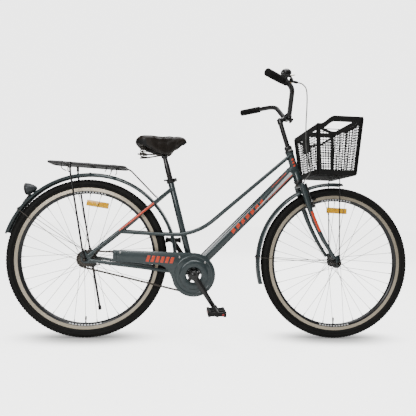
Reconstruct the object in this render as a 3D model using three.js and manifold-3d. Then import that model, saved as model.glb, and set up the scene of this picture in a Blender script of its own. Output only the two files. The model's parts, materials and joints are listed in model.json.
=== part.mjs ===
// A step-through city bicycle with a front basket, rear rack, chain guard and side stand.
// Millimetres. +X is forward, +Y is the rider's left, +Z is up. The wheels stand on Z = 0.
import * as THREE from "three";
import { mergeVertices } from "three/addons/utils/BufferGeometryUtils.js";
import Module from "manifold-3d";

const wasm = await Module();
wasm.setup();

// ---------- driving dimensions ----------

const GAP = 0.3; // left between pieces that touch

const WHEEL_RADIUS = 355;
const WHEELBASE = 1145;
const WHEEL_FACETS = 40;
const TYRE_HALF_WIDTH = 21;
const TREAD_HALF_WIDTH = 11;
const RIM_OUTER = 317;
const RIM_INNER = 290;
const RIM_HALF_WIDTH = 12;
const SPOKES_PER_SIDE = 18;
const SPOKE_RADIUS = 1;
const SPOKE_CROSS_DEG = 60;

const HEAD_TILT = THREE.MathUtils.degToRad(18.5);
const FORK_OFFSET = 52;
const HEAD_TUBE_LOW = 424; // distances up the steering axis, from level with the front axle
const HEAD_TUBE_HIGH = 562;
const CROWN_HEIGHT = 392;
const BRAKE_BOSS_HEIGHT = 290;
const FORK_HALF_WIDTH = 41;
const FRONT_HUB_HALF = 50;
const REAR_HUB_HALF = 60;
const DROPOUT_THICKNESS = 5;
const LOOP_THICKNESS = 3; // a stay's loop on an axle

const BRACKET_X = 475; // the bottom bracket
const BRACKET_Z = 295;
const SEAT_TILT = THREE.MathUtils.degToRad(15.3);
const SEAT_TUBE_LENGTH = 443;
const SEAT_TUBE_RADIUS = 14.3;
const SEAT_POST_RADIUS = 12.7;
const SEAT_POST_TOP = 545; // up the seat tube's line from the bottom bracket
const STAY_RADIUS = 8;
const LATERAL_RADIUS = 8;

const CRANK_LENGTH = 170;
const CRANK_ANGLE = THREE.MathUtils.degToRad(56); // the right crank points forward and down
const CRANK_INNER = 76;
const CRANK_THICKNESS = 14;
const CHAIN_LINE = 48;
const CHAINRING_RADIUS = 85; // 42 teeth
const SPROCKET_RADIUS = 36.4; // 18 teeth
const PEDAL_INNER = 108;
const PEDAL_OUTER = 203;
const GUARD_RADIUS = 97;
const GUARD_FACE = 66;

const FENDER_HALF_WIDTH = 24;
const FENDER_DEPTH = 14;
const FENDER_SHEET = 1.6;
const REAR_FENDER = { x: 10, z: 350, radius: 389, from: 163.5, to: -1.5 };
const FRONT_FENDER = { x: WHEELBASE, z: WHEEL_RADIUS, radius: 378, from: 196.4, to: 85.5 };

const BAR_RADIUS = 11.1;
const BAR_X = 903; // the handlebar's clamp
const BAR_Z = 1038;
const GRIP_LENGTH = 112;
const GRIP_RADIUS = 16;
const BRAKE_AT = 124; // distances in from the handlebar's tip
const BELL_AT = 143;

const SADDLE_Z = 860;
const SADDLE_THICKNESS = 54;
const SADDLE_EDGE = 16; // the rounding of the saddle's edges

// ---------- helpers ----------

const v = (x, y, z) => new THREE.Vector3(x, y, z);
const rad = THREE.MathUtils.degToRad;
const SIDES = [
  ["right", -1],
  ["left", 1],
];

// A run of straight stretches joined by round bends, with its steps only where it bends.
class Route extends THREE.Curve {
  constructor(corners, bend = 20, bendSteps = 4) {
    super();
    this.stops = [corners[0].clone()];
    for (let i = 1; i < corners.length - 1; i++) {
      const corner = corners[i];
      const before = corners[i - 1].clone().sub(corner);
      const after = corners[i + 1].clone().sub(corner);
      const reach = Math.min(bend, before.length() * 0.45, after.length() * 0.45);
      const start = corner.clone().addScaledVector(before.normalize(), reach);
      const end = corner.clone().addScaledVector(after.normalize(), reach);
      this.stops.push(...new THREE.QuadraticBezierCurve3(start, corner, end).getPoints(bendSteps));
    }
    this.stops.push(corners.at(-1).clone());
    this.steps = this.stops.length - 1;
  }
  getPointAt(u, target = new THREE.Vector3()) {
    return target.copy(this.stops[Math.round(u * this.steps)]);
  }
  getSpacedPoints() {
    return this.stops;
  }
  getTangentAt(u, target = new THREE.Vector3()) {
    const i = Math.round(u * this.steps);
    const back = this.stops[i].clone().sub(this.stops[Math.max(i - 1, 0)]).normalize();
    const ahead = this.stops[Math.min(i + 1, this.steps)].clone().sub(this.stops[i]).normalize();
    return target.copy(back).add(ahead).normalize();
  }
}

// A straight route from one point to another.
const straight = (from, to) => new Route([from, to]);

// A smooth route through points, with a given number of steps.
function smooth(points, steps) {
  const curve = new THREE.CatmullRomCurve3(points);
  curve.steps = steps;
  return curve;
}

// An oval outline; across is its half-width to the side, and high its half-height in the plane.
function oval(across, high = across, sides = 12) {
  const points = [];
  for (let i = 0; i < sides; i++) {
    const angle = (2 * Math.PI * (i + 0.5)) / sides;
    points.push(new THREE.Vector2(across * Math.cos(angle), high * Math.sin(angle)));
  }
  return new THREE.Shape(points);
}

// A bar of one section along a route.
function bar(route, section) {
  return new THREE.ExtrudeGeometry(section, {
    steps: route.steps,
    extrudePath: route,
    bevelEnabled: false,
  });
}

// Draws a bar in towards its route, so that its size falls evenly to endScale.
function taper(geometry, route, endScale) {
  const stops = route.getSpacedPoints(route.steps);
  const position = geometry.getAttribute("position");
  for (let i = 0; i < position.count; i++) {
    const point = new THREE.Vector3().fromBufferAttribute(position, i);
    let nearest = 0;
    for (let s = 1; s < stops.length; s++) {
      if (stops[s].distanceTo(point) < stops[nearest].distanceTo(point)) nearest = s;
    }
    const scale = 1 + ((endScale - 1) * nearest) / (stops.length - 1);
    point.sub(stops[nearest]).multiplyScalar(scale).add(stops[nearest]);
    position.setXYZ(i, point.x, point.y, point.z);
  }
  return geometry;
}

// A shape turned about the Y axis, from [radius, y] pairs that run counterclockwise.
function turned(profile, facets = 24, start = 0) {
  const points = profile.map(([radius, y]) => new THREE.Vector2(radius, y));
  return new THREE.LatheGeometry(points, facets, start);
}

// A ring or, with no inner radius, a disc about the Y axis.
function ring(outer, inner, low, high, facets = 24) {
  if (inner === 0) {
    return turned([[0, low], [outer, low], [outer, high], [0, high]], facets);
  }
  return turned([[inner, low], [outer, low], [outer, high], [inner, high], [inner, low]], facets);
}

// Lays a shape whose axis is Y along the line from one point towards another.
function aim(geometry, from, towards) {
  const way = towards.clone().sub(from).normalize();
  geometry.applyQuaternion(new THREE.Quaternion().setFromUnitVectors(v(0, 1, 0), way));
  return geometry.translate(from.x, from.y, from.z);
}

// A box between two corners.
function box(low, high) {
  const size = high.clone().sub(low);
  const middle = high.clone().add(low).multiplyScalar(0.5);
  return new THREE.BoxGeometry(size.x, size.y, size.z).translate(middle.x, middle.y, middle.z);
}

// A flat plate: a shape drawn in X and Z, with its thickness from y = low to y = high.
function plate(shape, low, high) {
  const geometry = new THREE.ExtrudeGeometry(shape, {
    depth: high - low,
    bevelEnabled: false,
    curveSegments: 8,
  });
  return geometry.rotateX(Math.PI / 2).translate(0, high, 0);
}

const outline = (pairs) => new THREE.Shape(pairs.map(([x, y]) => new THREE.Vector2(x, y)));

// A closed geometry as a solid that can be joined and cut.
function solid(geometry) {
  if (!geometry.isBufferGeometry) return geometry;
  const bare = geometry.index ? geometry.toNonIndexed() : geometry.clone();
  bare.deleteAttribute("normal");
  bare.deleteAttribute("uv");
  const merged = mergeVertices(bare, 1e-3);
  return new wasm.Manifold(
    new wasm.Mesh({
      numProp: 3,
      vertProperties: new Float32Array(merged.attributes.position.array),
      triVerts: new Uint32Array(merged.index.array),
    }),
  );
}

const join = (first, ...rest) => rest.reduce((all, one) => all.add(solid(one)), solid(first));
const cut = (first, ...rest) => rest.reduce((all, one) => all.subtract(solid(one)), solid(first));

function geometryOf(shape) {
  if (shape.isBufferGeometry) return shape;
  const mesh = shape.getMesh();
  const geometry = new THREE.BufferGeometry();
  const positions = [];
  for (let i = 0; i < mesh.numVert; i++) {
    const at = i * mesh.numProp;
    positions.push(...mesh.vertProperties.subarray(at, at + 3));
  }
  geometry.setAttribute("position", new THREE.Float32BufferAttribute(positions, 3));
  geometry.setIndex(Array.from(mesh.triVerts));
  geometry.computeVertexNormals();
  return geometry;
}

// ---------- materials ----------

function finish(color, roughness, metalness) {
  return new THREE.MeshStandardMaterial({ color, roughness, metalness });
}
const paint = finish(0x3d5254, 0.35, 0.2);
const blackPaint = finish(0x17191a, 0.4, 0.1);
const blackPlastic = finish(0x1b1c1d, 0.6, 0);
const rubber = finish(0x1f2123, 0.85, 0);
const rimBlack = finish(0x1c1f22, 0.4, 0.4);
const steel = finish(0x8f9193, 0.35, 1);
const darkSteel = finish(0x4b4741, 0.45, 0.9);
const brass = finish(0x9a8457, 0.35, 0.9);
const saddleSkin = finish(0x26211f, 0.6, 0);
const redLens = finish(0xb01c14, 0.2, 0);
const amberLens = finish(0xe89a1c, 0.25, 0);
const greyPlastic = finish(0x6d7274, 0.5, 0);

const bicycle = new THREE.Group();

function add(name, shape, material, parent = bicycle) {
  const mesh = new THREE.Mesh(geometryOf(shape), material);
  mesh.name = name;
  parent.add(mesh);
  return mesh;
}

// ---------- the lines that the frame is built on ----------

const rearAxle = v(0, 0, WHEEL_RADIUS);
const frontAxle = v(WHEELBASE, 0, WHEEL_RADIUS);
const bracket = v(BRACKET_X, 0, BRACKET_Z);
const steeringUp = v(-Math.sin(HEAD_TILT), 0, Math.cos(HEAD_TILT));
const steeringAhead = v(Math.cos(HEAD_TILT), 0, Math.sin(HEAD_TILT));
const seatUp = v(-Math.sin(SEAT_TILT), 0, Math.cos(SEAT_TILT));

// A point by its height up the steering axis, its distance ahead of it, and its side.
function steering(height, ahead = 0, y = 0) {
  const foot = frontAxle.clone().addScaledVector(steeringAhead, -FORK_OFFSET);
  const point = foot.addScaledVector(steeringUp, height).addScaledVector(steeringAhead, ahead);
  return point.setY(y);
}
// A point up the seat tube's line.
const seatLine = (height, y = 0) => bracket.clone().addScaledVector(seatUp, height).setY(y);

// A turned shape on the steering axis or the seat line, with its own zero at a height.
const onSteering = (geometry, height) => aim(geometry, steering(height), steering(height + 1));
const onSeatLine = (geometry, height) => aim(geometry, seatLine(height), seatLine(height + 1));

// ---------- frame ----------

function buildFrame() {
  const headOuter = 18;
  const headLength = HEAD_TUBE_HIGH - HEAD_TUBE_LOW;
  add("head_tube", onSteering(ring(headOuter, 15, 0, headLength, 20), HEAD_TUBE_LOW), paint);
  const cupLow = [[13.1, 0], [17, 0], [21.5, 9], [21.5, 18], [13.1, 18], [13.1, 0]];
  const cupHigh = [[13.1, 0], [21, 0], [21, 6], [17, 11.5], [13.1, 11.5], [13.1, 0]];
  add("headset_cup_lower", onSteering(turned(cupLow, 20), HEAD_TUBE_LOW - 18 - GAP), steel);
  add("headset_cup_upper", onSteering(turned(cupHigh, 20), HEAD_TUBE_HIGH + GAP), steel);

  const shellOuter = 20.5;
  const shellHalf = 34;
  const shell = [
    [9.2, -shellHalf], [shellOuter, -shellHalf], [shellOuter, shellHalf], [9.2, shellHalf],
    [9.2, 24], [17, 24], [17, -24], [9.2, -24], [9.2, -shellHalf],
  ];
  add("bottom_bracket_shell", turned(shell, 20).translate(BRACKET_X, 0, BRACKET_Z), paint);

  const clearOfHead = onSteering(ring(headOuter + GAP, 0, -20, headLength + 20, 20), HEAD_TUBE_LOW);
  const clearOfShell = ring(shellOuter + GAP, 0, -60, 60, 20).translate(BRACKET_X, 0, BRACKET_Z);
  const clearOfSeat = bar(
    straight(seatLine(-20), seatLine(SEAT_TUBE_LENGTH + 30)),
    oval(SEAT_TUBE_RADIUS + GAP, SEAT_TUBE_RADIUS + GAP, 16),
  );

  const seatTube = bar(
    straight(seatLine(0), seatLine(SEAT_TUBE_LENGTH)),
    oval(SEAT_TUBE_RADIUS, SEAT_TUBE_RADIUS, 16),
  );
  const seatBore = bar(
    straight(seatLine(100), seatLine(SEAT_TUBE_LENGTH + 10)),
    oval(SEAT_POST_RADIUS + 0.45, SEAT_POST_RADIUS + 0.45, 16),
  );
  add("seat_tube", cut(seatTube, clearOfShell, seatBore), paint);

  const downEnd = v(943.5, 0, 793.3);
  const downWall = bar(straight(v(481, 0, 317), downEnd), oval(19, 25, 16));
  const downTube = cut(downWall, bar(straight(v(528, 0, 365.4), downEnd), oval(17.4, 23.4, 16)));
  add("down_tube", cut(downTube, clearOfShell, clearOfSeat, clearOfHead), paint);

  for (const [name, side] of SIDES) {
    const stayRoute = new Route(
      [v(13, 62.8, 372.5), v(120, 56, 462), v(288, 37, 610), v(366, 17, 679)].map((p) =>
        p.setY(p.y * side),
      ),
      45,
    );
    const seatStay = bar(stayRoute, oval(STAY_RADIUS, STAY_RADIUS, 12));
    const dropout = outline([
      [-17, 355], [-13, 344], [0, 338], [48, 339], [50, 351], [24, 360], [40, 384], [30, 393],
      [8, 379], [3, 389], [-16, 389], [-20, 372],
    ]);
    const [near, far] = [side * (REAR_HUB_HALF + GAP), side * (REAR_HUB_HALF + DROPOUT_THICKNESS)];
    const dropoutPlate = plate(dropout, Math.min(near, far), Math.max(near, far));
    const axleHole = ring(5.6, 0, -100, 100, 12).translate(0, 0, WHEEL_RADIUS);
    const slot = plate(dropout, Math.min(near, far) - GAP, Math.max(near, far) + GAP);

    const lateralRoute = smooth(
      [
        v(926, 11, 860.7), v(760, 15, 714), v(620, 20, 590.7), v(540, 23, 522), v(480, 26, 489),
        v(427, 28.5, 474.5), v(385, 33, 470.5), v(280, 38, 472.5), v(139, 49, 479),
      ].map((p) => p.setY(p.y * side)),
      14,
    );
    const clearOfStay = bar(stayRoute, oval(STAY_RADIUS + GAP, STAY_RADIUS + GAP, 12));
    const lateral = bar(lateralRoute, oval(LATERAL_RADIUS, LATERAL_RADIUS, 8));

    let stay = cut(seatStay, slot, clearOfSeat);
    if (side < 0) {
      const bridge = bar(straight(v(306, -33, 626), v(306, 22, 626)), oval(5, 5, 8));
      stay = join(stay, bridge);
    }
    add("seat_stay_" + name, stay, paint);
    add("lateral_tube_" + name, cut(lateral, clearOfHead, clearOfStay), paint);

    const chainStayRoute = new Route(
      [v(466, 23, 296), v(400, 32, 303), v(320, 46, 313), v(20, 62.8, 351.5)].map((p) =>
        p.setY(p.y * side),
      ),
      40,
    );
    const chainStay = bar(chainStayRoute, oval(8, 9, 12));
    add(
      "chain_stay_" + name,
      cut(join(chainStay, dropoutPlate), clearOfShell, axleHole),
      paint,
    );
  }
}

// ---------- wheels ----------

function buildWheel(name, axle, hubHalf, flangeRadius) {
  const wheel = new THREE.Group();
  wheel.position.copy(axle);
  bicycle.add(wheel);

  // The radii are those of the facets' middles, so the tread rests on a flat.
  const flat = 1 / Math.cos(Math.PI / WHEEL_FACETS);
  const start = Math.PI / WHEEL_FACETS;
  const spread = (profile) => profile.map(([radius, y]) => [radius * flat, y]);
  const tyreProfile = [
    [RIM_OUTER + GAP, -10], [328, -20], [343, -TYRE_HALF_WIDTH + 1],
    [WHEEL_RADIUS, -TREAD_HALF_WIDTH], [WHEEL_RADIUS, TREAD_HALF_WIDTH],
    [343, TYRE_HALF_WIDTH - 1], [328, 20], [RIM_OUTER + GAP, 10], [RIM_OUTER + GAP, -10],
  ];
  add(name + "_tyre", turned(spread(tyreProfile), WHEEL_FACETS, start), rubber, wheel);
  const rimProfile = [
    [RIM_INNER, -6], [300, -RIM_HALF_WIDTH], [RIM_OUTER, -RIM_HALF_WIDTH],
    [RIM_OUTER, RIM_HALF_WIDTH], [300, RIM_HALF_WIDTH], [RIM_INNER, 6], [RIM_INNER, -6],
  ];
  add(name + "_rim", turned(spread(rimProfile), WHEEL_FACETS, start), rimBlack, wheel);

  const flangeY = 28;
  const hubEnd = hubHalf - (name === "rear" ? 22 : 4);
  let hub = solid(
    turned(
      [
        [5.6, -hubEnd], [14, -hubEnd], [14, -flangeY - 2], [flangeRadius + 4, -flangeY - 2],
        [flangeRadius + 4, -flangeY + 2], [15, -flangeY + 6], [15, flangeY - 6],
        [flangeRadius + 4, flangeY - 2], [flangeRadius + 4, flangeY + 2], [14, flangeY + 2],
        [14, hubHalf - 4], [5.6, hubHalf - 4], [5.6, -hubEnd],
      ],
      12,
    ),
  );
  for (const [, side] of SIDES) {
    for (let k = 0; k < SPOKES_PER_SIDE; k++) {
      const pitch = (2 * Math.PI) / SPOKES_PER_SIDE;
      const atRim = (k + (side > 0 ? 0.5 : 0)) * pitch;
      const lead = k % 2 === 0 ? 1 : -1;
      const atHub = atRim + lead * rad(SPOKE_CROSS_DEG);
      const hubY = side * (flangeY + lead * 1.2);
      const from = v(flangeRadius * Math.cos(atHub), hubY, flangeRadius * Math.sin(atHub));
      const end = RIM_INNER - 1;
      const to = v(end * Math.cos(atRim), side * 2, end * Math.sin(atRim));
      hub = hub.add(solid(bar(straight(from, to), oval(SPOKE_RADIUS, SPOKE_RADIUS, 3))));
    }
  }
  add(name + "_hub_spokes", hub, steel, wheel);

  const reflectorRadius = 246;
  const reflector = new THREE.BoxGeometry(34, 5, 104).rotateY(Math.PI / 2);
  reflector.translate(0, 0, reflectorRadius).rotateY(rad(name === "rear" ? 8 : 2));
  add(name + "_spoke_reflector", reflector, amberLens, wheel);
}

// An axle with its nuts; each nut clamps the stay loops stacked on the fork end or frame end.
function buildAxle(name, axle, hubHalf, radius, loops) {
  const face = stackFace(hubHalf, loops);
  const tip = face + 11;
  const locknut = hubHalf - 4 + GAP;
  const half = [
    [radius, locknut], [9, locknut], [9, hubHalf], [radius, hubHalf], [radius, face],
    [9.5, face], [9.5, face + 7], [radius, face + 7], [radius, tip], [0, tip],
  ];
  const mirrored = half.map(([r, y]) => [r, -y]).reverse();
  const shape = turned([...mirrored, ...half], 10).translate(axle.x, 0, axle.z);
  add(name + "_axle", shape, steel);
}

// How far out the next piece on an axle sits, past the frame end and a number of stay loops.
function stackFace(hubHalf, loops) {
  return hubHalf + DROPOUT_THICKNESS + GAP + loops * (LOOP_THICKNESS + GAP);
}

// The loops on both ends of an axle that hold a wire stay.
function axleLoops(axle, low) {
  return [-low - LOOP_THICKNESS, low].map((y) =>
    ring(9, 5.7, y, y + LOOP_THICKNESS, 10).translate(axle.x, 0, axle.z),
  );
}

// ---------- fenders ----------

// A fender's channel section: its crown is at zero and its edges point at the wheel.
function fenderSection() {
  const steps = 5;
  const points = [];
  for (let i = 0; i <= steps; i++) {
    const angle = -Math.PI / 2 + (Math.PI * i) / steps;
    points.push([FENDER_HALF_WIDTH * Math.sin(angle), FENDER_DEPTH * (1 - Math.cos(angle))]);
  }
  const inner = FENDER_HALF_WIDTH - FENDER_SHEET;
  for (let i = steps; i >= 0; i--) {
    const angle = -Math.PI / 2 + (Math.PI * i) / steps;
    const depth = FENDER_DEPTH - FENDER_SHEET;
    points.push([inner * Math.sin(angle), FENDER_SHEET + depth * (1 - Math.cos(angle))]);
  }
  return outline(points);
}

// A point on or near a fender, by its angle, its distance out from the crown, and its side.
function onFender(fender, degrees, out = 0, y = 0) {
  const radius = fender.radius + out;
  return v(fender.x + radius * Math.cos(rad(degrees)), y, fender.z + radius * Math.sin(rad(degrees)));
}

function buildFender(name, fender, steps) {
  const stops = [];
  for (let i = 0; i <= steps; i++) {
    stops.push(onFender(fender, fender.from + ((fender.to - fender.from) * i) / steps));
  }
  const route = new Route(stops, 0);
  route.stops = stops;
  route.steps = steps;
  add(name + "_fender", bar(route, fenderSection()), paint);
}

// A wire stay: a loop on each end of the axle, and the wire round the fender's back.
function buildFenderStay(name, axle, hubHalf, fender, degrees) {
  const low = stackFace(hubHalf, 0);
  const loopY = low + LOOP_THICKNESS / 2;
  const side = (y, out) => onFender(fender, degrees, out, y);
  const way = side(0, 0).sub(axle).normalize();
  const start = axle.clone().addScaledVector(way, 7.5);
  const leave = axle.clone().addScaledVector(way, 32);
  const edge = FENDER_HALF_WIDTH;
  const corners = [
    start.clone().setY(-loopY), leave.clone().setY(-loopY), side(-edge - 7, -12),
    side(6 - edge, 2.4), side(edge - 6, 2.4), side(edge + 7, -12),
    leave.clone().setY(loopY), start.clone().setY(loopY),
  ];
  const wire = bar(new Route(corners, 14, 2), oval(1.5, 1.5, 6));
  add(name + "_fender_stay", join(wire, ...axleLoops(axle, low)), darkSteel);
}

// ---------- rear rack and tail reflector ----------

const DECK = { rear: -178, front: 158, rearZ: 779, frontZ: 766, half: 58, rod: 5 };
const deckZ = (x) =>
  DECK.frontZ + ((DECK.rearZ - DECK.frontZ) * (DECK.front - x)) / (DECK.front - DECK.rear);

function buildRack() {
  const at = (x, y, below = 0) => v(x, y, deckZ(x) - below);
  const rails = new Route(
    [
      at(DECK.front, 0), at(DECK.front, -DECK.half), at(DECK.rear, -DECK.half),
      at(DECK.rear, DECK.half), at(DECK.front, DECK.half), at(DECK.front, 0.5),
    ],
    22,
  );
  let deck = solid(bar(rails, oval(DECK.rod, DECK.rod, 6)));
  for (const y of [-20, 20]) {
    deck = deck.add(solid(bar(straight(at(DECK.rear, y), at(DECK.front, y)), oval(3, 3, 6))));
  }
  const strips = [-120, 0, 110];
  for (const x of strips) {
    const strip = box(v(-11, -DECK.half, 2), v(11, DECK.half, 6)).rotateY(rackPitch());
    deck = deck.add(solid(strip.translate(x, 0, deckZ(x))));
  }
  for (const side of [-1, 1]) {
    const hook = new Route(
      [at(104, side * DECK.half), at(104, side * (DECK.half + 4), 22), at(96, side * (DECK.half + 4), 29)],
      6,
      2,
    );
    deck = deck.add(solid(bar(hook, oval(2.2, 2.2, 6))));
  }
  const stay = new Route([at(DECK.front - 6, 0), v(178, 0, 757), v(296, 0, 640)], 10);
  add("rack_deck", deck.add(solid(bar(stay, oval(8, 2.5, 8)))), blackPaint);

  for (const [name, side] of SIDES) {
    const y = side * (DECK.half + 2 * DECK.rod + GAP);
    const leg = new Route([v(-77, y, deckZ(-77)), v(-75, y, 735), v(-7, side * 70.6, 379)], 20);
    add("rack_leg_" + name, bar(leg, oval(DECK.rod, DECK.rod, 8)), blackPaint);
  }
}
const rackPitch = () => Math.atan2(DECK.rearZ - DECK.frontZ, DECK.front - DECK.rear);

function buildTailReflector() {
  const lensCentre = v(-279, 0, 657.5);
  const nose = v(-229, 0, 664);
  const housing = [
    [0, 0], [23, 0], [23, -4], [26.5, -4], [27, 2], [24, 14], [17, 30], [9, 42], [0, 46],
  ];
  add("tail_reflector_housing", aim(turned(housing, 20), lensCentre, nose), greyPlastic);
  const lens = [[0, -4.5], [14, -4], [22.5, -2.5], [22.5, -GAP], [0, -GAP]];
  add("tail_reflector_lens", aim(turned(lens, 20), lensCentre, nose), redLens);
}

// ---------- drive ----------

// The chain guard's outline, drawn in by an inset: a disc round the chainring and a long arm.
function guardShape(inset) {
  const radius = GUARD_RADIUS - inset;
  const shape = new THREE.Shape();
  const leave = rad(205);
  const tailX = 119 + inset;
  shape.moveTo(tailX, 399 - inset);
  shape.lineTo(tailX, 352 + inset);
  shape.lineTo(318, 337 + inset);
  const landing = [BRACKET_X + radius * Math.cos(leave), BRACKET_Z + radius * Math.sin(leave)];
  shape.quadraticCurveTo(366 + inset, 334 + inset, landing[0], landing[1]);
  shape.absarc(BRACKET_X, BRACKET_Z, radius, leave, 2 * Math.PI + Math.PI / 2, false);
  shape.lineTo(tailX, 399 - inset);
  return shape;
}

function buildGuard() {
  const hub = new THREE.Path();
  hub.absarc(BRACKET_X, BRACKET_Z, 33, 0, 2 * Math.PI, true);
  const face = guardShape(0);
  face.holes.push(hub);
  const lip = guardShape(0);
  lip.holes.push(guardShape(2.5));
  const raised = ring(64, 33, -GUARD_FACE - 4, -GUARD_FACE + 1, 20);
  raised.translate(BRACKET_X, 0, BRACKET_Z);
  const guard = join(
    plate(face, -GUARD_FACE, -GUARD_FACE + 2.5),
    plate(lip, -GUARD_FACE + 2, -GUARD_FACE + 12),
    raised,
  );
  add("chain_guard", guard, paint);
}

// The loop that a chain makes round two wheels, out from their pitch circles by an offset.
function chainLoop(offset) {
  const small = SPROCKET_RADIUS + offset;
  const large = CHAINRING_RADIUS + offset;
  const span = Math.hypot(BRACKET_X, BRACKET_Z - WHEEL_RADIUS);
  const slope = Math.atan2(BRACKET_Z - WHEEL_RADIUS, BRACKET_X);
  const spread = Math.asin((CHAINRING_RADIUS - SPROCKET_RADIUS) / span);
  const top = slope + Math.PI / 2 + spread;
  const bottom = slope - Math.PI / 2 - spread;
  const loop = new THREE.Shape();
  loop.absarc(BRACKET_X, BRACKET_Z, large, bottom, top, false);
  loop.absarc(0, WHEEL_RADIUS, small, top, bottom + 2 * Math.PI, false);
  return loop;
}

function buildChain() {
  const loop = chainLoop(4.5);
  loop.holes.push(chainLoop(1));
  add("chain", plate(loop, -CHAIN_LINE - 4.5, -CHAIN_LINE + 4.5), darkSteel);
}

function buildCranks() {
  const crankset = new THREE.Group();
  crankset.position.copy(bracket);
  bicycle.add(crankset);
  const axleEnd = CRANK_INNER - GAP;
  const spindle = [
    [0, -axleEnd], [7, -axleEnd], [8.5, -40], [8.5, 40], [7, axleEnd], [0, axleEnd],
  ];
  add("crank_axle", turned(spindle, 16), steel, crankset);

  for (const [name, side] of SIDES) {
    const way = side < 0 ? 1 : -1;
    const end = v(
      way * CRANK_LENGTH * Math.cos(CRANK_ANGLE), 0, -way * CRANK_LENGTH * Math.sin(CRANK_ANGLE),
    );
    const low = side < 0 ? -CRANK_INNER - CRANK_THICKNESS : CRANK_INNER;
    const middle = low + CRANK_THICKNESS / 2;
    const boss = ring(20, 0, low, low + CRANK_THICKNESS, 14);
    const eye = ring(14, 0, low, low + CRANK_THICKNESS, 12).translate(end.x, 0, end.z);
    const armRoute = straight(v(0, middle, 0), v(end.x, middle, end.z));
    const arm = taper(bar(armRoute, oval(6, 15, 8)), armRoute, 0.7);
    const pin = ring(5, 0, 0, PEDAL_OUTER - 6 - CRANK_INNER, 12);
    const pinStart = side < 0 ? -PEDAL_OUTER + 6 : CRANK_INNER;
    pin.translate(end.x, pinStart, end.z);
    let crank = join(boss, eye, arm, pin);
    if (side < 0) {
      const teeth = ring(CHAINRING_RADIUS - 1, 66, -CHAIN_LINE - 1.5, -CHAIN_LINE + 1.5, 24);
      const hub = ring(24, 0, -CRANK_INNER, -CHAIN_LINE + 1.5, 12);
      const bore = ring(9, 0, -CRANK_INNER, 0, 12);
      crank = join(crank, teeth, hub);
      const arms = 5;
      for (let k = 0; k < arms; k++) {
        const spider = box(v(20, -CHAIN_LINE - 2, -8), v(70, -CHAIN_LINE + 1.5, 8));
        spider.rotateY((2 * Math.PI * (k + 0.25)) / arms);
        crank = crank.add(solid(spider));
      }
      crank = cut(crank, bore);
    }
    add("crank_" + name, crank, blackPaint, crankset);
    buildPedal(name, side, end, crankset);
  }
}

function buildPedal(name, side, end, parent) {
  const pedal = new THREE.Group();
  pedal.position.set(end.x, 0, end.z);
  parent.add(pedal);
  const [low, high] = side < 0 ? [-PEDAL_OUTER, -PEDAL_INNER] : [PEDAL_INNER, PEDAL_OUTER];
  const barrel = ring(11, 0, low, high, 12);
  const shapes = [];
  for (const x of [-1, 1]) {
    shapes.push(box(v(x * 32 - 6, low, -12), v(x * 32 + 6, high, 12)));
  }
  for (const y of [low, (low + high) / 2 - 7, high - 14]) {
    shapes.push(box(v(-32, y, -9), v(32, y + 14, 9)));
  }
  const blind = side < 0 ? [low + 5.5, high + 1] : [low - 1, high - 5.5];
  add("pedal_" + name, cut(join(barrel, ...shapes), ring(5.5, 0, ...blind, 12)), blackPlastic, pedal);
}

function buildSprocket() {
  const body = join(
    ring(SPROCKET_RADIUS - 1, 7, -CHAIN_LINE - 1.5, -CHAIN_LINE + 1.5, 24),
    ring(22, 7, -CHAIN_LINE - 6, -CHAIN_LINE + 8, 12),
  );
  const carrier = new THREE.Group();
  carrier.position.copy(rearAxle);
  bicycle.add(carrier);
  add("rear_sprocket", body, darkSteel, carrier);
}

// ---------- side stand ----------

const STAND_PIVOT = v(4, 77, 318);

function buildStand() {
  const cheek = outline([[-12, 306], [18, 306], [26, 322], [24, 334], [-12, 340]]);
  const clampFace = REAR_HUB_HALF + DROPOUT_THICKNESS + 5;
  const pin = ring(5, 0, clampFace, 90, 12).translate(STAND_PIVOT.x, 0, STAND_PIVOT.z);
  add("kickstand_bracket", join(plate(cheek, clampFace, clampFace + 4), pin), blackPaint);

  const foot = v(22, 205, 84);
  const route = new Route([STAND_PIVOT.clone(), v(6, 92, 296), foot], 14, 3);
  const knuckle = ring(11, 0, clampFace + 4 + GAP, 90 - GAP, 16);
  knuckle.translate(STAND_PIVOT.x, 0, STAND_PIVOT.z);
  const pinBore = ring(5.4, 0, 60, 100, 12).translate(STAND_PIVOT.x, 0, STAND_PIVOT.z);
  const toe = aim(ring(8, 0, -14, 6, 12), foot, v(24, 214, 62));
  const leg = bar(route, oval(5.5, 5.5, 10));
  add("kickstand_leg", cut(join(leg, knuckle, toe), pinBore), blackPaint);
}

// ---------- seat ----------

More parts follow.
